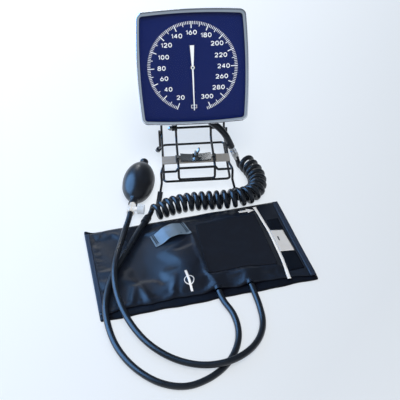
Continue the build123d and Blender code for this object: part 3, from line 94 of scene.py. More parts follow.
def add_mesh(name, points, faces, material, body, smooth=True):
    mesh = bpy.data.meshes.new(name)
    mesh.from_pydata([tuple(p) for p in points], [], faces)
    mesh.validate()
    mesh.polygons.foreach_set("use_smooth", [smooth] * len(mesh.polygons))
    mesh.materials.append(material)
    piece = bpy.data.objects.new(name, mesh)
    bpy.context.scene.collection.objects.link(piece)
    if body:
        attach(piece, body)
    return piece


def grid_faces(rows, columns, first=0, wrap_columns=False, flip=False):
    """Quads between neighbouring points of a grid that is stored row after row."""
    faces = []
    for i in range(rows - 1):
        for j in range(columns if wrap_columns else columns - 1):
            a = first + i * columns + j
            b = first + i * columns + (j + 1) % columns
            c = b + columns
            d = a + columns
            faces.append((a, d, c, b) if flip else (a, b, c, d))
    return faces


def tube_faces(rows, steps, flip=False):
    """Faces between rings of points that are stored ring after ring, with a cap at each end."""
    faces = grid_faces(rows, steps, wrap_columns=True, flip=flip)
    faces.append(tuple(range(steps)))
    faces.append(tuple(reversed(range((rows - 1) * steps, rows * steps))))
    return faces


def lathe(name, profile, origin, way, material, body, steps):
    """A turned solid: profile rows are (distance along the axis, radius) in millimetres."""
    way = Vector(way).normalized()
    side = way.orthogonal().normalized()
    other = way.cross(side)
    points = []
    for along, radius in profile:
        for k in range(steps):
            turn = 2 * pi * k / steps
            spot = Vector(origin) + way * along + (side * cos(turn) + other * sin(turn)) * radius
            points.append(spot * MM)
    return add_mesh(name, points, tube_faces(len(profile), steps), material, body)


def fade(low, high, x):
    """A soft step from 0 at low to 1 at high; low may be the larger of the two."""
    t = np.clip((x - low) / (high - low), 0, 1)
    return t * t * (3 - 2 * t)


# Materials: lengths in metres, noise scales in features per metre
BUMP_DEPTH = 0.0001
GRAIN_DETAIL = 2.0
CLOTH_PATCHES = 45.0
# Nearly all values of a noise texture lie in this range
NOISE_RANGE = (0.3, 0.7)
# Lowest and highest roughness, as shares of the finish's own
ROUGH_SHARES = (0.85, 1.2)
CLOTH_ROUGH_SHARES = (0.85, 1.15)
# A wave texture of scale 1 repeats after this length
WAVE_LENGTH = 2 * pi / 20
THREAD_DISTORTION = 0.6
THREAD_DETAIL_SCALE = 3.0
LENS_SMUDGES = 40.0
LENS_ROUGH = (0.02, 0.045)
LENS_IOR = 1.15


def start_material(name):
    material = bpy.data.materials.new(name)
    material.use_nodes = True
    tree = material.node_tree
    return material, tree.nodes, tree.links, tree.nodes["Principled BSDF"]


def object_place(tree_nodes):
    return tree_nodes.new("ShaderNodeTexCoord").outputs["Object"]


def noise(tree_nodes, links, scale, detail=4.0):
    """A noise texture in object coordinates."""
    texture = tree_nodes.new("ShaderNodeTexNoise")
    texture.inputs["Scale"].default_value = scale
    texture.inputs["Detail"].default_value = detail
    links.new(object_place(tree_nodes), texture.inputs["Vector"])
    return texture.outputs["Fac"]


def map_range(tree_nodes, links, value, source, target, kind="LINEAR"):
    """Maps a value from the source range onto the target range, and keeps it within that."""
    ranger = tree_nodes.new("ShaderNodeMapRange")
    ranger.interpolation_type = kind
    ranger.inputs["From Min"].default_value = source[0]
    ranger.inputs["From Max"].default_value = source[1]
    ranger.inputs["To Min"].default_value = target[0]
    ranger.inputs["To Max"].default_value = target[1]
    links.new(value, ranger.inputs["Value"])
    return ranger.outputs["Result"]


def combine(tree_nodes, links, operation, first, second, clamp=False):
    """The result of an arithmetic operation on two outputs."""
    node = tree_nodes.new("ShaderNodeMath")
    node.operation = operation
    node.use_clamp = clamp
    links.new(first, node.inputs[0])
    links.new(second, node.inputs[1])
    return node.outputs["Value"]


def tint(tree_nodes, links, factor, colour, spread, target):
    """Mixes a darker and a lighter tone of a colour by a factor."""
    mixer = tree_nodes.new("ShaderNodeMix")
    mixer.data_type = "RGBA"
    mixer.inputs["A"].default_value = (*[c * (1 - spread) for c in colour], 1)
    mixer.inputs["B"].default_value = (*[min(c * (1 + spread), 1) for c in colour], 1)
    links.new(factor, mixer.inputs["Factor"])
    links.new(mixer.outputs["Result"], target)


def roughen(tree_nodes, links, patches, rough_range, target):
    """Lets a roughness follow the patches of a noise texture."""
    links.new(map_range(tree_nodes, links, patches, NOISE_RANGE, rough_range), target)


def add_bump(tree_nodes, links, height, strength, target):
    bump = tree_nodes.new("ShaderNodeBump")
    bump.inputs["Strength"].default_value = strength
    bump.inputs["Distance"].default_value = BUMP_DEPTH
    links.new(height, bump.inputs["Height"])
    links.new(bump.outputs["Normal"], target)


def set_more(shader, more):
    """Sets further inputs of a shader, whose names have underscores for spaces."""
    for key, value in more.items():
        shader.inputs[key.replace("_", " ")].default_value = value


def finish(name, colour, rough, metallic=0.0, grain=2500.0, bump=0.1, spread=0.12, patch=60.0, **more):
    """A surface with mottled colour, uneven roughness and fine grain."""
    material, tree_nodes, links, shader = start_material(name)
    patches = noise(tree_nodes, links, patch)
    fine = noise(tree_nodes, links, grain, GRAIN_DETAIL)
    tint(tree_nodes, links, patches, colour, spread, shader.inputs["Base Color"])
    rough_range = [rough * share for share in ROUGH_SHARES]
    roughen(tree_nodes, links, patches, rough_range, shader.inputs["Roughness"])
    shader.inputs["Metallic"].default_value = metallic
    add_bump(tree_nodes, links, fine, bump, shader.inputs["Normal"])
    set_more(shader, more)
    return material


def woven(name, colour, rough, pitch, strength, spread=0.15, **more):
    """Cloth: threads in two directions, with patches of shade."""
    material, tree_nodes, links, shader = start_material(name)
    place = tree_nodes.new("ShaderNodeMapping")
    place.inputs["Rotation"].default_value = (0, 0, -CUFF_TURN)
    links.new(object_place(tree_nodes), place.inputs["Vector"])
    threads = []
    for direction in ("X", "Y"):
        wave = tree_nodes.new("ShaderNodeTexWave")
        wave.bands_direction = direction
        wave.inputs["Scale"].default_value = WAVE_LENGTH / pitch
        wave.inputs["Distortion"].default_value = THREAD_DISTORTION
        wave.inputs["Detail Scale"].default_value = THREAD_DETAIL_SCALE
        links.new(place.outputs["Vector"], wave.inputs["Vector"])
        threads.append(wave.outputs["Fac"])
    cross = combine(tree_nodes, links, "MAXIMUM", *threads)
    patches = noise(tree_nodes, links, CLOTH_PATCHES)
    tint(tree_nodes, links, patches, colour, spread, shader.inputs["Base Color"])
    rough_range = [rough * share for share in CLOTH_ROUGH_SHARES]
    roughen(tree_nodes, links, patches, rough_range, shader.inputs["Roughness"])
    add_bump(tree_nodes, links, cross, strength, shader.inputs["Normal"])
    set_more(shader, more)
    return material


def clear_lens(name):
    """A clear sheet: its outer face mirrors more at a slant, and its inner face lets all through."""
    material, tree_nodes, links, shader = start_material(name)
    tree_nodes.remove(shader)
    clear = tree_nodes.new("ShaderNodeBsdfTransparent")
    gloss = tree_nodes.new("ShaderNodeBsdfGlossy")
    smudges = noise(tree_nodes, links, LENS_SMUDGES)
    roughen(tree_nodes, links, smudges, LENS_ROUGH, gloss.inputs["Roughness"])
    slant = tree_nodes.new("ShaderNodeFresnel")
    slant.inputs["IOR"].default_value = LENS_IOR
    inner = tree_nodes.new("ShaderNodeNewGeometry").outputs["Backfacing"]
    mirror = combine(tree_nodes, links, "SUBTRACT", slant.outputs["Fac"], inner, clamp=True)
    mixer = tree_nodes.new("ShaderNodeMixShader")
    links.new(mirror, mixer.inputs["Fac"])
    links.new(clear.outputs["BSDF"], mixer.inputs[1])
    links.new(gloss.outputs["BSDF"], mixer.inputs[2])
    links.new(mixer.outputs["Shader"], tree_nodes["Material Output"].inputs["Surface"])
    return material


chrome = finish("bezel_chrome", (0.7, 0.73, 0.78), 0.13, 1.0, bump=0.03, spread=0.06)
bright = finish("bright_metal", (0.36, 0.36, 0.355), 0.2, 1.0, bump=0.004, spread=0.08)
steel = finish("plain_steel", (0.55, 0.54, 0.5), 0.32, 1.0, bump=0.12, spread=0.12)
brass = finish("movement_brass", (0.72, 0.5, 0.2), 0.3, 1.0, bump=0.08)
case_plastic = finish("case_plastic", (0.014, 0.016, 0.02), 0.5, bump=0.35, grain=1600.0)
dial_blue = finish(
    "dial_blue", (0.004, 0.011, 0.088), 0.4, bump=0.004, spread=0.1, patch=9.0, Specular_IOR_Level=0.25
)
white_paint = finish("white_paint", (0.86, 0.9, 0.92), 0.45, bump=0.02, spread=0.04)
black_paint = finish("black_wire", (0.006, 0.007, 0.009), 0.24, bump=0.06)
black_rubber = finish("black_rubber", (0.014, 0.015, 0.018), 0.45, bump=0.3, grain=1800.0)
hose_rubber = finish("black_hose", (0.006, 0.008, 0.012), 0.3, bump=0.1, grain=1500.0)
ivory = finish("valve_plating", (0.88, 0.87, 0.84), 0.25, 0.15, bump=0.03, spread=0.06)
connector_plating = finish("connector_plating", (0.5, 0.53, 0.57), 0.25, 0.8, bump=0.02, spread=0.08)
# Silver knob: its pale blue-white colour is partly a painted reflection of the bright surroundings
knob_plating_and_painted_reflection = finish("knob_plating_and_painted_reflection", (0.78, 0.83, 0.88), 0.22, 0.3, bump=0.03, spread=0.06)
strip_paint = finish("strip_finish", (0.36, 0.34, 0.31), 0.5, 0.3, bump=0.1, spread=0.15)
bulb_rubber = finish("bulb_rubber", (0.007, 0.008, 0.011), 0.33, bump=0.15, grain=1700.0, spread=0.25)
nylon = woven("black_nylon", (0.005, 0.007, 0.013), 0.37, 0.0006, 0.3, spread=0.3, Specular_IOR_Level=0.4)
# Painted shade: the lower layer's cloth is a darker copy of the top layer's black nylon
nylon_painted_shade = woven("under_nylon_painted_shade", (0.002, 0.002, 0.004), 0.5, 0.0006, 0.3, Specular_IOR_Level=0.2)
hem_cloth = woven("hem_tape", (0.008, 0.012, 0.024), 0.55, 0.0009, 0.5)
pile = finish(
    "black_pile", (0.0092, 0.0094, 0.012), 0.9, bump=0.5, grain=1500.0, spread=0.3, Specular_IOR_Level=0.15
)
hook_cloth = finish(
    "black_hook", (0.002, 0.002, 0.003), 0.8, bump=0.6, grain=1200.0, spread=0.3, Specular_IOR_Level=0.15
)
label_cloth = woven("white_label", (0.6, 0.6, 0.6), 0.6, 0.0005, 0.3, spread=0.06)
# Grey-blue tape: its own colour, made lighter by a painted sheen
tape_cloth_and_sheen = woven("grey_tape", (0.13, 0.19, 0.26), 0.3, 0.0008, 0.5, spread=0.2)
print_white = finish("cuff_print", (0.86, 0.88, 0.9), 0.55, bump=0.05, spread=0.06)
thread = finish("sewing_thread", (0.004, 0.005, 0.008), 0.8, bump=0.3)
lens = clear_lens("clear_lens")

slot_finish = {
    "bezel_chrome": chrome,
    "bright_metal": bright,
    "plain_steel": steel,
    "movement_brass": brass,
    "case_plastic": case_plastic,
    "dial_blue": dial_blue,
    "white_paint": white_paint,
    "black_wire": black_paint,
    "black_rubber": black_rubber,
    "black_hose": hose_rubber,
    "bulb_rubber": bulb_rubber,
    "black_nylon": nylon,
    "hem_tape": hem_cloth,
    "black_pile": pile,
    "black_hook": hook_cloth,
    "white_label": label_cloth,
    "grey_tape": tape_cloth_and_sheen,
    "clear_lens": lens,
}
for entry in frame["record"]["subparts"]:
    solid = nodes[entry["node"]]
    solid.data.materials.clear()
    solid.data.materials.append(slot_finish[entry["material_slot"]])

node_finish = {
    "release_valve": ivory,
    "release_screw": knob_plating_and_painted_reflection,
    "connector_socket": connector_plating,
    "connector_ring": connector_plating,
    "cross_strip": strip_paint,
    "tilt_rod": black_paint,
    "pointer_arbor": case_plastic,
}
for name, look in node_finish.items():
    nodes[name].data.materials[0] = look


# Camera, fitted to the photograph; its place is in millimetres
CAMERA_EYE = Vector((-35.0, -725.5, 619.0))
CAMERA_YAW = radians(-3.51)
CAMERA_DOWN = radians(38.83)
CAMERA_ROLL = radians(-0.92)
CAMERA_LENS = 63.0
CAMERA_SENSOR = 36.0
CAMERA_NEAR = 0.01

# Strength of the room by direction, where 0 is behind the camera and 1 is behind the object
ROOM_COLOUR = (0.74, 0.86, 1.0, 1)
ROOM_BEHIND_CAMERA = 0.5
ROOM_BETWEEN = 0.13
ROOM_BETWEEN_PLACES = (0.3, 0.9)
ROOM_BEHIND_OBJECT = 0.6
# Strength that is added overhead, and the heights over which it grows
ROOM_OVERHEAD = 0.08
ROOM_OVERHEAD_RANGE = (0.25, 0.95)

# The floor glows, because it stands for a lit backdrop; lengths are in metres
FLOOR_HALF = 6.0
FLOOR_COLOUR = (0.33, 0.345, 0.36, 1)
FLOOR_ROUGH = 0.7
GLOW_COLOUR = (0.595, 0.64, 0.69)
PAINTED_LIGHT_SPREAD = 0.36
# Painted light: the glow lightens towards the back left, as y plus this many x grows over the range
PAINTED_LIGHT_SLANT = -1.2
PAINTED_LIGHT_RANGE = (-0.42, 0.99)
# Painted light against the shade of the head and stand: the glow is stronger under the stand, and falls
# back to its own strength over these distances
PAINTED_LIGHT_UNDER_STAND_CENTRE = (0.0094, 0.085, 0)
PAINTED_LIGHT_UNDER_STAND_RANGE = (0.02, 0.13)
PAINTED_LIGHT_UNDER_STAND_STRENGTH = (1.2, 1.0)

# Name, place, target, size, power, colour, whether it shows in gloss and whether it fills
LIGHTS = (
    ("key", (0.4, -0.1, 1.7), (0.0, 0.0, 0.05), 1.6, 5.0, (1.0, 0.97, 0.93), False, True),
    ("front", (0.05, -1.3, 1.9), (0.0, 0.0, 0.1), 1.0, 40.0, (1.0, 0.97, 0.94), False, True),
    ("window", (-1.2, 0.23, 0.9), (0.0, 0.0, 0.02), 2.2, 92.0, (0.22, 0.5, 1.0), True, False),
    ("lamp", (-0.2, 1.75, 0.78), (0.0, 0.0, 0.02), 0.45, 3.0, (0.95, 0.97, 1.0), True, False),
)


def add_camera():
    data = bpy.data.cameras.new("camera")
    data.lens = CAMERA_LENS
    data.sensor_width = CAMERA_SENSOR
    data.clip_start = CAMERA_NEAR
    camera = bpy.data.objects.new("camera", data)
    bpy.context.scene.collection.objects.link(camera)
    turn = Matrix.Rotation(CAMERA_YAW, 4, "Z")
    turn = turn @ Matrix.Rotation(pi / 2 - CAMERA_DOWN, 4, "X")
    turn = turn @ Matrix.Rotation(CAMERA_ROLL, 4, "Z")
    camera.matrix_world = Matrix.Translation(CAMERA_EYE * MM) @ turn
    bpy.context.scene.camera = camera


def area_light(name, place, target, size, power, colour, shines, fills):
    data = bpy.data.lights.new(name, "AREA")
    data.shape = "DISK"
    data.size = size
    data.energy = power
    data.color = colour
    light = bpy.data.objects.new(name, data)
    bpy.context.scene.collection.objects.link(light)
    light.visible_glossy = shines
    light.visible_diffuse = fills
    light.location = place
    light.rotation_euler = (Vector(target) - Vector(place)).to_track_quat("-Z", "Y").to_euler()


def add_world():
    """A room that is bright behind the camera and behind the object, and dim between."""
    world = bpy.data.worlds.new("world")
    world.use_nodes = True
    tree_nodes = world.node_tree.nodes
    links = world.node_tree.links
    background = tree_nodes["Background"]
    background.inputs["Color"].default_value = ROOM_COLOUR
    split = tree_nodes.new("ShaderNodeSeparateXYZ")
    links.new(tree_nodes.new("ShaderNodeTexCoord").outputs["Generated"], split.inputs["Vector"])
    depth = map_range(tree_nodes, links, split.outputs["Y"], (-1.0, 1.0), (0.0, 1.0))
    band = tree_nodes.new("ShaderNodeValToRGB")
    stops = band.color_ramp.elements
    for place in ROOM_BETWEEN_PLACES:
        stops.new(place).color = (*[ROOM_BETWEEN] * 3, 1)
    stops[0].color = (*[ROOM_BEHIND_CAMERA] * 3, 1)
    stops[-1].color = (*[ROOM_BEHIND_OBJECT] * 3, 1)
    links.new(depth, band.inputs["Fac"])
    top = map_range(tree_nodes, links, split.outputs["Z"], ROOM_OVERHEAD_RANGE, (0.0, ROOM_OVERHEAD))
    total = combine(tree_nodes, links, "ADD", band.outputs["Color"], top)
    links.new(total, background.inputs["Strength"])
    bpy.context.scene.world = world
    bpy.context.scene.view_settings.view_transform = "Standard"


def add_stage():
    """The floor, whose glow holds painted light, and the lights."""
    floor_paint, tree_nodes, links, shader = start_material("floor")
    here = object_place(tree_nodes)
    place = tree_nodes.new("ShaderNodeSeparateXYZ")
    links.new(here, place.inputs["Vector"])
    # Painted light: the glow grows lighter towards the back left, as if a window lit the floor there
    across = tree_nodes.new("ShaderNodeMath")
    across.operation = "MULTIPLY_ADD"
    across.inputs[1].default_value = PAINTED_LIGHT_SLANT
    links.new(place.outputs["X"], across.inputs[0])
    links.new(place.outputs["Y"], across.inputs[2])
    shade = map_range(tree_nodes, links, across.outputs["Value"], PAINTED_LIGHT_RANGE, (0.0, 1.0))
    tint(tree_nodes, links, shade, GLOW_COLOUR, PAINTED_LIGHT_SPREAD, shader.inputs["Emission Color"])
    # Painted light: a stronger glow under the stand lightens the shade there
    reach = tree_nodes.new("ShaderNodeVectorMath")
    reach.operation = "DISTANCE"
    reach.inputs[1].default_value = PAINTED_LIGHT_UNDER_STAND_CENTRE
    links.new(here, reach.inputs[0])
    lift = map_range(tree_nodes, links, reach.outputs["Value"], PAINTED_LIGHT_UNDER_STAND_RANGE, PAINTED_LIGHT_UNDER_STAND_STRENGTH, "SMOOTHSTEP")
    links.new(lift, shader.inputs["Emission Strength"])
    shader.inputs["Base Color"].default_value = FLOOR_COLOUR
    shader.inputs["Roughness"].default_value = FLOOR_ROUGH
    half = FLOOR_HALF
    corners = [(-half, -half, 0), (half, -half, 0), (half, half, 0), (-half, half, 0)]
    floor = add_mesh("floor", corners, [(0, 1, 2, 3)], floor_paint, None, smooth=False)
    for light in LIGHTS:
        area_light(*light)


# Hoses: routes and sizes in millimetres, as in the part's source
TUBE = 7.6
HEAD_HOSE = 9.6
COIL_TUBE = 7.0
COIL_OUTER = 27.0
COIL_TURNS = 22
COIL_START = radians(-45.0)
COIL_Z = COIL_OUTER / 2 + 0.2
# Share by which the turns lie closer at the coil's end, and wider apart at its start
COIL_TIGHTER = 0.12
# Share of the coil that narrows towards its end, and share of the radius that is left there
COIL_TAPER = 0.1
COIL_END_SHARE = 0.84
# Control points in a turn, and control points left off before the straight end
COIL_STEPS = 16
COIL_CUT = 3
# Mesh steps of a curve, along and about it
CURVE_STEPS = 8
CURVE_ROUND_STEPS = 6

head_hose_route = [
    (18.8, 124.7, 98.3),
    (22.9, 120.8, 87.7),
    (36.0, 120.3, 77.2),
    (46.0, 117.9, 70.0),
    (54.0, 115.5, 60.4),
    (59.6, 113.3, 49.6),
    (63.8, 112.1, 39.0),
]
coil_lead = [(71.2, 110.0, 20.3), (73.5, 108.2, 14.4), (74.1, 107.8, 10.1)]
coil_spine = [
    (82.5, 110.9, COIL_Z),
    (90.5, 92.9, COIL_Z),
    (95.2, 75.4, COIL_Z),
    (95.6, 58.4, COIL_Z),
    (91.4, 41.9, COIL_Z + 0.8),
    (81.0, 27.7, COIL_Z + 2.8),
    (64.0, 19.5, COIL_Z + 5.4),
    (43.0, 19.7, COIL_Z + 2.6),
    (20.0, 22.5, COIL_Z + 0.6),
    (-6.0, 22.1, COIL_Z),
    (-30.0, 15.5, COIL_Z),
    (-53.0, 4.4, COIL_Z),
]
coil_end = [(-55.7, 11.6, 11.1), (-58.6, 5.8, 8.2), (-59.4, 0.2, 11.4), (-62.5, -6.1, 11.4)]
tail_route = [
    (-62.5, -6.1, 11.4),
    (-71.5, -24.1, 11.4),
    (-82.0, -49.1, 11.0),
    (-93.0, -77.1, 10.8),
    (-105.0, -104.1, 10.6),
    (-111.5, -132.1, 10.8),
    (-113.6, -163.1, 12.0),
    (-108.2, -195.1, 11.6),
    (-98.0, -223.1, 9.8),
    (-80.0, -249.1, 8.0),
    (-54.0, -269.1, 5.4),
    (-25.0, -275.6, 3.8),
    (1.0, -266.1, 3.8),
    (21.0, -249.6, 3.8),
    (33.5, -229.1, 3.8),
    (39.6, -205.1, 3.8),
    (36.5, -177.1, 4.4),
    (24.3, -156.6, 7.0),
    (21.9, -142.8, 7.0),
]
bulb_hose_route = [
    (-84.2, -0.4, 18.5),
    (-86.9, -15.1, 17.5),
    (-91.6, -31.1, 15.4),
    (-96.0, -58.1, 17.0),
    (-100.6, -83.1, 20.6),
    (-103.0, -109.1, 22.0),
    (-101.6, -136.1, 21.6),
    (-95.0, -167.1, 20.0),
    (-82.0, -197.1, 17.4),
    (-63.0, -224.1, 14.4),
    (-36.0, -243.6, 10.6),
    (-6.0, -254.1, 10.6),
    (22.0, -253.1, 12.8),
    (45.0, -239.6, 10.8),
    (61.0, -218.1, 6.4),
    (69.0, -193.1, 4.0),
    (67.6, -166.1, 4.4),
    (64.2, -149.5, 7.0),
    (61.8, -135.7, 7.0),
]


def nurbs(name, route, thickness=0.0):
    """A smooth curve object whose control points are the route's points."""
    data = bpy.data.curves.new(name, "CURVE")
    data.dimensions = "3D"
    data.resolution_u = CURVE_STEPS
    data.bevel_depth = thickness * MM / 2
    data.bevel_resolution = CURVE_ROUND_STEPS
    data.use_fill_caps = True
    spline = data.splines.new("NURBS")
    spline.points.add(len(route) - 1)
    for point, spot in zip(spline.points, route):
        point.co = (*[c * MM for c in spot], 1)
    spline.order_u = 3
    spline.use_endpoint_u = True
    curve = bpy.data.objects.new(name, data)
    bpy.context.scene.collection.objects.link(curve)
    return curve


def centre_line(name, route):
    """Points along the route's smooth curve, in millimetres."""
    curve = nurbs(name, route)
    bpy.context.view_layer.update()
    line = bpy.data.meshes.new_from_object(curve)
    points = np.array([v.co for v in line.vertices], float) / MM
    bpy.data.objects.remove(curve)
    bpy.data.meshes.remove(line)
    return points


def line_length(points):
    return float(np.linalg.norm(np.diff(points, axis=0), axis=1).sum())


def coil_route():
    """The lead, the helix about the spine and the straight end, as control points."""
    spine = centre_line("coil_spine", coil_spine)
    steps = np.concatenate([[0], np.cumsum(np.linalg.norm(np.diff(spine, axis=0), axis=1))])
    shares = np.linspace(0, 1, COIL_TURNS * COIL_STEPS + 1)
    centres = np.stack([np.interp(shares * steps[-1], steps, spine[:, k]) for k in range(3)], axis=1)
    along = np.gradient(centres, axis=0)
    across = np.stack([along[:, 1], -along[:, 0], np.zeros(len(along))], axis=1)
    across /= np.linalg.norm(across, axis=1)[:, None]
    turned = shares + COIL_TIGHTER * shares * (shares - 1)
    angles = COIL_START - 2 * pi * COIL_TURNS * turned
    radius = (COIL_OUTER - COIL_TUBE) / 2
    tapered = np.clip((shares - 1 + COIL_TAPER) / COIL_TAPER, 0, 1)
    radii = radius * (1 - (1 - COIL_END_SHARE) * tapered) / cos(pi / COIL_STEPS)
    turns = centres + across * (radii * np.cos(angles))[:, None]
    turns[:, 2] += radii * np.sin(angles) - (radius - radii)
    return coil_lead + [tuple(p) for p in turns[:-COIL_CUT]] + coil_end


def add_hose(name, node, route, thickness):
    """A free hose that stands for its node."""
    hose = nurbs(name, route, thickness)
    hose.data.materials.append(hose_rubber)
    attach(hose, BASE)
    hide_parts(node)
    length = line_length(centre_line(name + "_line", route)) * MM


def sweep_tube(name, line, radius, material, steps=24):
    """A mesh tube about a line of points, all in millimetres."""
    ways = np.gradient(line, axis=0)
    ways /= np.linalg.norm(ways, axis=1)[:, None]
    side = np.cross(ways[0], (0.0, 1.0, 0.0))
    side /= np.linalg.norm(side)
    points = []
    for spot, way in zip(line, ways):
        side = side - way * np.dot(side, way)
        side /= np.linalg.norm(side)
        other = np.cross(way, side)
        for k in range(steps):
            turn = 2 * pi * k / steps
            points.append((spot + radius * (side * cos(turn) + other * sin(turn))) * MM)
    return add_mesh(name, points, tube_faces(len(line), steps, flip=True), material, None)


def add_hoses():
    line = centre_line("head_hose_line", head_hose_route)
    head_hose = sweep_tube("head_hose_tube", line, HEAD_HOSE / 2, hose_rubber)
    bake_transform(head_hose)
    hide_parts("head_hose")
    add_hose("coil_tube", "coil_hose", coil_route(), COIL_TUBE)
    add_hose("tail_tube", "tail_hose", tail_route, TUBE)
    add_hose("bulb_tube", "bulb_hose", bulb_hose_route, TUBE)


# Dial print, in the head's plane, just above the dial plate; sizes in millimetres
PRINT_LIFT = 0.04
PRINT_THICK = 0.06
SCALE_R = 60.3
SCALE_DEGREES = 1.125
SCALE_FIRST = 20
SCALE_LAST = 304
SCALE_STEP = 2
NUMERAL_HIGH = 5.1
NUMERAL_LINE = 1.05
ZERO_BOX = (7.6, 4.0)
ZERO_BOX_V = -52.7
ZERO_BOX_LINE = 0.6
# Widths and gap of the digits, as shares of their height
DIGIT_WIDE = 0.77
ONE_WIDE = 0.3
DIGIT_GAP = 0.4
# Degrees between the points of an arc, and the fewest steps in one
ARC_STEP = 20
ARC_LEAST = 3
# Shortest sum of two ways at a bend, which keeps sharp bends from spreading
BEND_LEAST = 0.5

# Ticks at the multiples of a value: inner end as a share of the scale's radius, and width
TICK_STYLES = ((20, 0.85, 1.15), (10, 0.895, 0.85), (SCALE_STEP, 0.935, 0.7))

# Distance from the middle and height of each pair of numerals, lower value on the left
numeral_places = [
    (160, 160, 0.0, 45.8),
    (140, 180, 19.4, 41.7),
    (120, 200, 33.5, 30.5),
    (100, 220, 38.1, 15.0),
    (80, 240, 41.5, 0.4),
    (60, 260, 38.7, -13.3),
    (40, 280, 33.9, -27.9),
    (20, 300, 17.9, -39.6),
]


def print_mesh(name, outlines):
    """Flat closed outlines, each a loop of (x, y) in millimetres, as one thin print on the dial."""
    points = []
    faces = []
    for outline in outlines:
        first = len(points)
        count = len(outline)
        points += [(x, y, PRINT_LIFT + PRINT_THICK) for x, y in outline]
        points += [(x, y, PRINT_LIFT) for x, y in outline]
        faces.append(tuple(range(first, first + count)))
        faces.append(tuple(reversed(range(first + count, first + 2 * count))))
        for k in range(count):
            after = (k + 1) % count
            faces.append((first + k, first + count + k, first + count + after, first + after))
    add_mesh(name, head_points(np.array(points)), faces, white_paint, HEAD, smooth=False)


def bar(start, end, wide):
    """The four corners of a straight bar."""
    start, end = np.array(start, float), np.array(end, float)
    way = (end - start) / np.linalg.norm(end - start)
    side = np.array([-way[1], way[0]]) * wide / 2
    return [tuple(p) for p in (start - side, end - side, end + side, start + side)]


def tick_style(value):
    """Inner end as a share of the scale's radius, and width, of the tick at a value."""
    return next((inner, wide) for step, inner, wide in TICK_STYLES if value % step == 0)


def arc(x, y, wide, high, start, end):
    """Points of an oval arc about (x, y), between two angles in degrees."""
    count = max(int(abs(end - start) / ARC_STEP), ARC_LEAST)
    turns = [radians(start + (end - start) * k / count) for k in range(count + 1)]
    return [(x + wide * cos(turn), y + high * sin(turn)) for turn in turns]


def digit_strokes(digit):
    """Centre lines of a plain rounded digit of height 1. The scale has no 5, 7 or 9."""
    half = DIGIT_WIDE / 2
    if digit == "0":
        return [arc(half, 0.5, half, 0.5, 0, 360)]
    if digit == "1":
        return [[(0, 0.74), (ONE_WIDE, 1.0), (ONE_WIDE, 0)]]
    if digit == "2":
        return [arc(half, 0.7, half * 0.95, 0.3, 165, -35) + [(0, 0)], [(0, 0), (DIGIT_WIDE, 0)]]
    if digit == "3":
        upper = arc(half, 0.76, half * 0.85, 0.24, 150, -90)
        return [upper, arc(half, 0.26, half, 0.26, 90, -150)]
    if digit == "4":
        return [[(0.56, 0), (0.56, 1.0)], [(0.56, 1.0), (0, 0.28)], [(0, 0.28), (DIGIT_WIDE, 0.28)]]
    if digit == "6":
        return [arc(half, 0.32, half, 0.32, 0, 360), [(0.03, 0.42), (0.47, 1.0)]]
    return [arc(half, 0.76, half * 0.8, 0.24, 0, 360), arc(half, 0.27, half, 0.27, 0, 360)]


def ribbon(line, wide):
    """Four-cornered pieces of a flat band about a line of points."""
    line = np.array(line, float)
    closed = np.allclose(line[0], line[-1])
    ways = np.diff(line, axis=0)
    ways /= np.linalg.norm(ways, axis=1)[:, None]
    before = np.vstack([ways[-1:] if closed else ways[:1], ways])
    after = np.vstack([ways, ways[:1] if closed else ways[-1:]])
    corner = before + after
    corner /= np.maximum(np.linalg.norm(corner, axis=1)[:, None], BEND_LEAST)
    sides = np.stack([-corner[:, 1], corner[:, 0]], axis=1) * wide / 2
    left, right = line + sides, line - sides
    pieces = []
    for k in range(len(ways)):
        spots = (left[k], right[k], right[k + 1], left[k + 1])
        pieces.append([tuple(spot) for spot in spots])
    return pieces


def numeral(text, x, y):
    """The pieces of a number centred on (x, y)."""
    widths = [ONE_WIDE if digit == "1" else DIGIT_WIDE for digit in text]
    start = x - (sum(widths) + DIGIT_GAP * (len(text) - 1)) * NUMERAL_HIGH / 2
    pieces = []
    for digit, wide in zip(text, widths):
        for line in digit_strokes(digit):
            placed = [(start + a * NUMERAL_HIGH, y + (b - 0.5) * NUMERAL_HIGH) for a, b in line]
            pieces += ribbon(placed, NUMERAL_LINE)
        start += (wide + DIGIT_GAP) * NUMERAL_HIGH
    return pieces


def add_dial_print():
    ticks = []
    for value in range(SCALE_FIRST, SCALE_LAST + 1, SCALE_STEP):
        angle = radians(SCALE_DEGREES * value)
        inner, wide = tick_style(value)
        way = np.array([-sin(angle), -cos(angle)])
        ticks.append(bar(way * SCALE_R * inner, way * SCALE_R, wide))
    half_wide, half_high = ZERO_BOX[0] / 2, ZERO_BOX[1] / 2
    for side in (-1, 1):
        across = ZERO_BOX_V + side * half_high
        ticks.append(bar((-half_wide, across), (half_wide, across), ZERO_BOX_LINE))
        upright = side * (half_wide - ZERO_BOX_LINE / 2)
        low, high = (upright, ZERO_BOX_V - half_high), (upright, ZERO_BOX_V + half_high)
        ticks.append(bar(low, high, ZERO_BOX_LINE))
    print_mesh("dial_scale", ticks)
    numerals = []
    for low_value, high_value, out, up in numeral_places:
        numerals += numeral(str(low_value), -out, up)
        if out:
            numerals += numeral(str(high_value), out, up)
    print_mesh("dial_numerals", numerals)


# Cuff: a along it, b across it, both from its centre, in millimetres
CUFF_HALF_LONG = 135.0
CUFF_HALF_WIDE = 78.5
UNDER_TOP = 3.4
UNDER_STEPS = (70, 40)
LAYER_GAP = 0.1
TOP_REST = 5.8
TOP_RIGHT = 133.0
TOP_BACK = 75.0
TOP_FRONT = -67.5
TOP_TUCK = 0.9
POUCH_RISE = 6.0
GRID_STEP = 2.6
PORTS_A = (9.5, 50.0)
PORT_RISE = 4.8
PORT_WIDE = 12.0
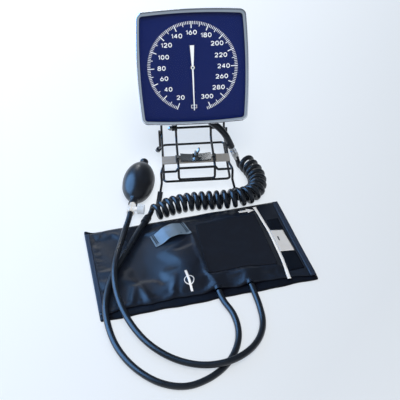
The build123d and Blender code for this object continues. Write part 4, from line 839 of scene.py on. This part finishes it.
# How far the front edge is forward at its ends and drawn back at the ports
EDGE_RIGHT_OUT = 6.5
EDGE_LEFT_OUT = 3.0
EDGE_PORT_IN = 1.2
EDGE_PORT_WIDE = 9
# The lower layer's back left corner curls up and backwards within this reach
CURL_REACH = 7
CURL_UP = 5.0
CURL_BACK = 1.5
# Creases behind the front edge: a at their front end, how far they lean, and height
FRONT_CREASES = ((-96, 8, 1.4), (-72, -8, 1.8), (-46, 9, 2.0))
# A ridge's height follows a half wave from this share of it on, above this least share
RIDGE_START = 0.15
RIDGE_LEAST = 0.35
# Cloth simulation: frames, and the farthest move of a point in any direction and downwards
SIM_FRAMES = 16
SIM_CAP = 0.9
SIM_SINK = 0.8
# Heights are averaged over the nearest points, and this keeps their weights finite
NEAREST = 4
NEAR_SOFTENER = 0.05

# Corners of the straight patches: the ends of one long side, then of the other, the far end first
HEM_RIGHT = ((126, -74), (126, 74), (133.2, 74), (133.2, -74))
HEM_LEFT = ((-134.6, -68), (-134.6, 74), (-128.5, 74), (-128.5, -68))
HOOK_PATCH = ((103.4, -59), (107.0, 40.3), (122.0, 39.0), (122.8, -58.8))
SEWN_TAG = ((103.4, -24), (103.8, 18.5), (120.3, 14.9), (121.9, -26))
TAG_MARK = ((108.6, -4.0), (108.8, 4.0), (110.4, 3.8), (110.2, -4.2))
HANGING_LOOP = ((-52.3, 46.1), (-4.6, 57.5), (1.6, 31.7), (-48.4, 22.9))
ARROW_SHAFT = ((73.5, 58.8), (86.0, 58.8), (86.0, 64.6), (73.5, 64.6))
ARTERY_BAR = ((-24.5, -34.5), (-22.9, -63.0), (-19.9, -63.0), (-21.5, -34.5))

# The pile panel: its left edge and length at its front and their change to its back, then its
# front and back edges at its left and their change to its right
PANEL_LEFT = (2.0, 7.8)
PANEL_LONG = (89.0, -5.8)
PANEL_FRONT = (-46.5, -2.0)
PANEL_BACK = (48.5, 2.0)
# How far its front edge bows backwards, and how much sooner than its right end the bow stops
PANEL_BOW = 3.5
PANEL_BOW_SOONER = 1.1
PANEL_THICK = 0.7
TAPE_ARCH = 4.0
MARK_THICK = 0.15
# The index line runs backwards from its start, with these places of a at these places of b
INDEX_START = -72.0
INDEX_LONG = 142.0
INDEX_WIDE = 4.4
INDEX_B = (-73.1, -37.7, 15.1, 65.5)
INDEX_A = (98.5, 101.2, 102.5, 98.7)
# The arrow's head, whose tip is a little blunt
ARROW_A = 85.0
ARROW_B = 61.7
ARROW_LONG = 10.5
ARROW_WIDE = 14.0
ARROW_BLUNT = 1.02
ARTERY_CENTRE = (-22.0, -49.8)
ARTERY_R = 5.3
ARTERY_LINE = 0.9
# Places along a stitch, from -1 to 1, and the share of its height there
STITCH_CROWNS = ((-1, 0.6), (0, 1), (1, 0.6))


def ridge(a, b, start, end, wide, high):
    """A soft raised line between two places on the cuff, lower towards its ends."""
    start, end = np.array(start, float), np.array(end, float)
    way = end - start
    share = np.clip(((a - start[0]) * way[0] + (b - start[1]) * way[1]) / (way @ way), 0, 1)
    gap = np.hypot(a - start[0] - share * way[0], b - start[1] - share * way[1])
    wave = np.sin(pi * (RIDGE_START + (1 - 2 * RIDGE_START) * share))
    return high * np.exp(-((gap / wide) ** 2)) * (RIDGE_LEAST + (1 - RIDGE_LEAST) * wave)


def front_edge(a):
    """The top layer's front edge: wavy, further forward at both ends and drawn back at the ports."""
    edge = TOP_FRONT + 0.8 * np.sin(a * 0.11) + 0.5 * np.sin(a * 0.29 + 1)
    edge -= EDGE_RIGHT_OUT * fade(100, 134, a) + EDGE_LEFT_OUT * fade(-95, -134, a)
    for port in PORTS_A:
        edge += EDGE_PORT_IN * np.exp(-(((a - port) / EDGE_PORT_WIDE) ** 2))
    return edge


def top_height(a, b):
    """The top layer as it is sewn: flat at its edges, raised over the bladder and the hose ports."""
    front = b - front_edge(a)
    mound = fade(-72, -18, a) * fade(105, 88, a) * fade(2, 20, front) * fade(76, 50, b)
    height = TOP_REST + POUCH_RISE * mound
    # Along the pile panel's left and front edges, and from its corner to the first port
    height += ridge(a, b, (1, 34), (3, -46), 3.0, 1.8) * mound
    height += ridge(a, b, (2, -40), (PORTS_A[0], -66), 4.0, 1.8) * fade(0, 6, front)
    height += ridge(a, b, (12, -50), (92, -53), 4.0, 1.6)
    for port in PORTS_A:
        height += PORT_RISE * np.exp(-(((a - port) / PORT_WIDE) ** 2)) * fade(30, 3, front)
    # A broad swell left of the panel, and a slight one near the left end
    height += ridge(a, b, (-18, 10), (-12, -42), 22.0, 3.2) * fade(0, 14, front)
    height += ridge(a, b, (-118, 40), (-85, -45), 9.0, 0.7)
    for place, lean, high in FRONT_CREASES:
        height += ridge(a, b, (place, -66), (place + lean, -38), 4.0, high) * fade(0, 5, front)
    height += 0.35 * np.sin(a * 0.09 + b * 0.05) * fade(0, 12, front)
    return height


def top_grid():
    """Rest points of the top layer, row after row along the cuff."""
    rows = round((TOP_RIGHT + CUFF_HALF_LONG) / GRID_STEP) + 1
    columns = round((TOP_BACK - TOP_FRONT) / GRID_STEP) + 1
    a = np.linspace(-CUFF_HALF_LONG + 1, TOP_RIGHT, rows)[:, None] + np.zeros((1, columns))
    share = np.linspace(0, 1, columns)[None, :]
    front = front_edge(a)
    b = front + (TOP_BACK + 1.5 * np.sin(a * 0.05) - front) * share
    return np.stack([a, b, top_height(a, b)], axis=2)


def sewn(a, b):
    """1 where the top layer is sewn down, 0 where it is free."""
    front = b - front_edge(a)
    # The front and back hems, both ends, the corner with the arrow, and the pile panel
    held = np.maximum(fade(5, 1, front), fade(TOP_BACK - 7, TOP_BACK - 3, b))
    held = np.maximum(held, np.maximum(fade(-124, -130, a), fade(90, 94, a)))
    held = np.maximum(held, fade(50, 54, b) * fade(60, 66, a))
    panel = fade(-1, 4, a) * fade(96, 91, a) * fade(-50, -45, b) * fade(54, 49, b)
    return np.maximum(held, panel)


def puckered(points):
    """The top layer after its loose cloth has buckled between its seams, by simulation."""
    rows, columns = points.shape[:2]
    flat = points.reshape(-1, 3)
    sheet = add_mesh("cuff_sim", flat * MM, grid_faces(rows, columns), nylon, None)
    held = sheet.vertex_groups.new(name="sewn")
    weights = sewn(flat[:, 0], flat[:, 1])
    for k, weight in enumerate(weights):
        held.add([k], float(weight), "REPLACE")
    cloth = sheet.modifiers.new("cloth", "CLOTH")
    cloth.settings.quality = 5
    cloth.settings.mass = 0.15
    cloth.settings.vertex_group_mass = "sewn"
    cloth.settings.tension_stiffness = 30
    cloth.settings.compression_stiffness = 30
    cloth.settings.shear_stiffness = 12
    cloth.settings.bending_stiffness = 6.0
    cloth.settings.shrink_min = -0.012
    cloth.settings.use_pressure = True
    cloth.settings.uniform_pressure_force = 0.6
    cloth.settings.effector_weights.gravity = 0
    cloth.point_cache.frame_start = 1
    cloth.point_cache.frame_end = SIM_FRAMES
    for step in range(1, SIM_FRAMES + 1):
        bpy.context.scene.frame_set(step)
    shaped = sheet.evaluated_get(bpy.context.evaluated_depsgraph_get())
    moved = np.array([v.co for v in shaped.data.vertices], float) / MM
    bpy.context.scene.frame_set(1)
    bpy.data.objects.remove(sheet)
    shift = np.clip(moved - flat, -SIM_CAP, SIM_CAP)
    shift[:, 2] = np.maximum(shift[:, 2], -SIM_SINK)
    return (flat + shift).reshape(points.shape)


def cuff_surface(a, b):
    """Height of the finished top layer under a place on the cuff."""
    distance = (cuff_top[:, :, 0] - a) ** 2 + (cuff_top[:, :, 1] - b) ** 2
    nearest = np.argsort(distance, axis=None)[:NEAREST]
    weights = 1 / (distance.flat[nearest] + NEAR_SOFTENER)
    return float((cuff_top[:, :, 2].flat[nearest] * weights).sum() / weights.sum())


def rim_faces(rows, columns, shift):
    """Side faces between two equal grids, the upper one stored shift points after the lower."""
    around = list(range(columns))
    around += [i * columns + columns - 1 for i in range(1, rows)]
    around += [(rows - 1) * columns + j for j in range(columns - 2, -1, -1)]
    around += [i * columns for i in range(rows - 2, 0, -1)]
    faces = []
    for k, here in enumerate(around):
        after = around[(k + 1) % len(around)]
        faces.append((here, here + shift, after + shift, after))
    return faces


def thick_sheet(name, top, bottom, material, finer=1):
    """A closed cloth piece between two equal grids of cuff points, smoothed by subdivision."""
    rows, columns = top.shape[:2]
    count = rows * columns
    faces = grid_faces(rows, columns, first=count, flip=True) + grid_faces(rows, columns)
    faces += rim_faces(rows, columns, count)
    points = np.concatenate([bottom.reshape(-1, 3), top.reshape(-1, 3)])
    piece = add_mesh(name, cuff_points(points), faces, material, BASE)
    if finer:
        smoother = piece.modifiers.new("smoother", "SUBSURF")
        smoother.levels = finer
        smoother.render_levels = finer
    return piece


def drape(name, place, material, thick, steps, lift=0.0, arch=None, finer=0):
    """A thin patch on the cuff's top. place gives (a, b) for shares from 0 to 1 along and across."""
    rows, columns = steps
    low = np.zeros((rows, columns, 3))
    for i in range(rows):
        for j in range(columns):
            s, t = i / (rows - 1), j / (columns - 1)
            a, b = place(s, t)
            rise = arch(s) if arch else 0.0
            low[i, j] = a, b, cuff_surface(a, b) + lift + rise
    high = low + [0, 0, thick]
    return thick_sheet(name, high, low, material, finer)


def between(corners):
    """A place function over the straight patch with these corners."""
    near_start, near_end, far_end, far_start = [np.array(c, float) for c in corners]

    def place(s, t):
        near = near_start + (near_end - near_start) * s
        far = far_start + (far_end - far_start) * s
        return near + (far - near) * t

    return place


def stitches(name, lines, long=2.3, gap=1.2, wide=0.42, high=0.25, lift=0.0):
    """Rows of short raised threads on the cuff's top along straight lines."""
    points = []
    faces = []
    for start, end in lines:
        start, end = np.array(start, float), np.array(end, float)
        reach = np.linalg.norm(end - start)
        way = (end - start) / reach
        side = np.array([-way[1], way[0]])
        for k in range(int(reach / (long + gap))):
            spot = start + way * (k + 0.5) * (long + gap)
            level = cuff_surface(*spot) + lift
            first = len(points)
            for along, crown in STITCH_CROWNS:
                for across in (-1, 0, 1):
                    place = spot + way * along * long / 2 + side * across * wide / 2
                    rise = 0 if across else high * crown
                    points.append((*place, level + rise))
            faces += grid_faces(3, 3, first=first, flip=True)
    add_mesh(name, cuff_points(points), faces, thread, BASE)


def add_pouch():
    """The top layer with the pouch."""
    top = cuff_top.copy()
    top[[0, -1], :, 2] -= TOP_TUCK
    top[:, [0, -1], 2] -= TOP_TUCK
    bottom = cuff_top.copy()
    bottom[:, :, 2] = UNDER_TOP + LAYER_GAP
    upper = thick_sheet("cuff_pouch", top, bottom, nylon)
    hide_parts("cuff_cloth", "bladder")


def add_under_layer():
    """The lower layer that the top one is folded onto; its cloth is darker than the top layer's, as
    painted shade.
    """
    rows, columns = UNDER_STEPS
    low = np.zeros((rows, columns, 3))
    for i in range(rows):
        a = -CUFF_HALF_LONG + 2 * CUFF_HALF_LONG * i / (rows - 1)
        for j in range(columns):
            t = j / (columns - 1)
            front = -CUFF_HALF_WIDE + 0.7 * sin(a * 0.07) + 0.4 * sin(a * 0.19)
            low[i, j] = a, front + (CUFF_HALF_WIDE - front) * t, 0
    high = low.copy()
    high[:, :, 2] = UNDER_TOP
    from_left = (low[:, :, 0] + CUFF_HALF_LONG) / CURL_REACH
    from_back = (low[:, :, 1] - CUFF_HALF_WIDE) / CURL_REACH
    corner = np.exp(-(from_left**2) - from_back**2)
    for layer in (low, high):
        layer[:, :, 2] += CURL_UP * corner
        layer[:, :, 1] += CURL_BACK * corner
    under = thick_sheet("cuff_under_layer", high, low, nylon_painted_shade)
    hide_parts("cuff_cloth")


def panel_place(s, t):
    """The pile panel: its left edge leans, and its front edge bows backwards."""
    left = PANEL_LEFT[0] + PANEL_LEFT[1] * t
    long = PANEL_LONG[0] + PANEL_LONG[1] * t
    bow = PANEL_BOW * sin(pi * min(s * PANEL_BOW_SOONER, 1))
    front = PANEL_FRONT[0] + bow + PANEL_FRONT[1] * s
    back = PANEL_BACK[0] + PANEL_BACK[1] * s
    return left + s * long, front + (back - front) * t


def tape_arch(s):
    """Rise of the hanging tape, which is free between its two sewn ends."""
    return TAPE_ARCH * float(fade(0.1, 0.4, s) * fade(0.93, 0.6, s))


def add_cuff_trim():
    """Hems, pile panel, hook strip, tag and hanging tape."""
    hem = drape("cuff_hem_right", between(HEM_RIGHT), hem_cloth, thick=0.5, steps=(60, 6))
    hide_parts("cuff_hem")
    drape("cuff_hem_left", between(HEM_LEFT), hem_cloth, thick=0.4, steps=(60, 6))
    panel = drape("pile_panel", panel_place, pile, thick=PANEL_THICK, steps=(60, 60))
    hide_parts("loop_panel")
    strip = drape("hook_patch", between(HOOK_PATCH), hook_cloth, thick=0.8, steps=(60, 12))
    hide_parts("hook_strip")
    tag = drape("sewn_tag", between(SEWN_TAG), label_cloth, thick=0.5, steps=(24, 10), lift=0.9)
    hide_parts("size_tag")
    drape("tag_mark", between(TAG_MARK), thread, thick=0.1, steps=(10, 3), lift=1.45)
    # The tape's cloth is lighter by a painted sheen
    tape = drape(
        "hanging_loop",
        between(HANGING_LOOP),
        tape_cloth_and_sheen,
        thick=0.9,
        steps=(36, 12),
        lift=0.3,
        arch=tape_arch,
        finer=1,
    )
    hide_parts("hanging_tape")


def index_place(s, t):
    b = INDEX_START + INDEX_LONG * s
    return float(np.interp(b, INDEX_B, INDEX_A)) + (t - 0.5) * INDEX_WIDE, b


def arrow_head_place(s, t):
    return ARROW_A + ARROW_LONG * s, ARROW_B + (t - 0.5) * ARROW_WIDE * (ARROW_BLUNT - s)


def artery_ring_place(s, t):
    turn = 2 * pi * s
    radius = ARTERY_R + ARTERY_LINE * t
    return ARTERY_CENTRE[0] + radius * cos(turn), ARTERY_CENTRE[1] + radius * sin(turn)


def add_cuff_marks():
    """The index line, the arrow that points at it, and the artery mark."""
    marks = (
        ("index_line", index_place, (120, 3), 0.45),
        ("arrow_shaft", between(ARROW_SHAFT), (12, 6), 0.5),
        ("arrow_head", arrow_head_place, (12, 10), 0.5),
        ("artery_bar", between(ARTERY_BAR), (40, 3), 0.4),
        ("artery_ring", artery_ring_place, (64, 3), 0.4),
    )
    for name, place, steps, lift in marks:
        drape(name, place, print_white, MARK_THICK, steps, lift)


# Bulb: along is measured from its centre towards the inlet end, in millimetres
BULB_R = 22.0
BULB_HALF_LONG = 37.0
BULB_STEPS = 80
BULB_ROUND_STEPS = 72
NECK_R = 6.0
NECK_LONG = 46.0
NECK_LIP = 0.5
# Share by which the neck is narrower before its lip, and where that and the lip set in
NECK_WAIST = 0.06
NECK_WAIST_RANGE = (NECK_LONG - 7, NECK_LONG - 3)
NECK_LIP_RANGE = (NECK_LONG - 3.2, NECK_LONG - 2.2)
# The lip's end face stands out by the first and is smaller by the second
LIP_OUT = 0.2
LIP_ROUND = 0.4
SEAM_R = 0.28
SEAM_STEPS = 8

# Cloth collars: b and height of their start, and rows of distance and radius
SLEEVE_START = (-62.5, 7.0)
SLEEVE_PROFILE = [(0, 4.2), (1, 4.9), (4.2, 5.0), (5.4, 4.7), (6.2, 4.6), (6.6, 4.0)]
SLEEVE_ROUND_STEPS = 40

# Ends of the rows of thread
HEM_SEAMS = (
    ((-127.0, -66), (-127.0, 73)),
    ((124.6, -72), (124.6, 73)),
    ((-126, 71.5), (124, 71.5)),
    ((105.2, -57), (108.4, 39)),
    ((121.0, -57), (120.4, 38)),
)
PANEL_SEAMS = (
    ((3.4, -44.5), (11.0, 47.0)),
    ((11.0, 47.0), (91.6, 49.0)),
    ((91.6, 49.0), (89.8, -46.8)),
)
TAPE_SEAMS = (
    ((-49.6, 45.6), (-45.9, 25.4)),
    ((-47.6, 46.0), (-43.9, 26.0)),
    ((-7.2, 55.6), (-1.8, 33.2)),
    ((-9.2, 55.1), (-3.8, 32.7)),
)


def bulb_profile():
    """Outline of the pear: an ellipse that flows into a rolled neck at each end."""
    profile = []
    for k in range(BULB_STEPS + 1):
        along = -NECK_LONG + 2 * NECK_LONG * k / BULB_STEPS
        share = min(abs(along) / BULB_HALF_LONG, 1)
        body = BULB_R * (1 - share**2) ** 0.5
        neck = NECK_R * (1 - NECK_WAIST * float(fade(*NECK_WAIST_RANGE, abs(along))))
        neck += NECK_LIP * float(fade(*NECK_LIP_RANGE, abs(along)))
        profile.append((along, (body**4 + neck**4) ** 0.25))
    last = NECK_R + NECK_LIP - LIP_ROUND
    return [(-NECK_LONG - LIP_OUT, last)] + profile + [(NECK_LONG + LIP_OUT, last)]


def add_bulb():
    """The bulb and the two seams on its sides."""
    profile = bulb_profile()
    pear = lathe("squeeze_bulb", profile, BULB_CENTRE, BULB_WAY, bulb_rubber, BASE, BULB_ROUND_STEPS)
    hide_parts("bulb")
    side = BULB_WAY.cross(Vector((0, 0, 1))).normalized()
    rows = profile[2:-2]
    for name, turn in (("bulb_seam_right", 1), ("bulb_seam_left", -1)):
        line = [BULB_CENTRE + BULB_WAY * along + side * turn * radius for along, radius in rows]
        seam = sweep_tube(name, np.array(line), SEAM_R, bulb_rubber, SEAM_STEPS)
        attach(seam, BASE)


def add_port_sleeves():
    """The short cloth collars that the two hoses leave through, at the cuff's front edge."""
    for number, port in enumerate(PORTS_A):
        start = cuff_points([(port, *SLEEVE_START)])[0] / MM
        name = f"port_sleeve_{number + 1}"
        lathe(name, SLEEVE_PROFILE, start, -CUFF_B, nylon, BASE, SLEEVE_ROUND_STEPS)


def add_cuff_stitches():
    """Rows of thread along the hems, the hook strip, the pile panel and the tape's ends."""
    stitches("hem_stitches", HEM_SEAMS)
    stitches("panel_stitches", PANEL_SEAMS, lift=PANEL_THICK)
    stitches("tape_stitches", TAPE_SEAMS, lift=1.8, wide=1.2, gap=0.3)


add_camera()
add_world()
add_stage()
add_hoses()
add_dial_print()
cuff_top = puckered(top_grid())
add_pouch()
add_under_layer()
add_cuff_trim()
add_cuff_marks()
add_cuff_stitches()
add_port_sleeves()
add_bulb()
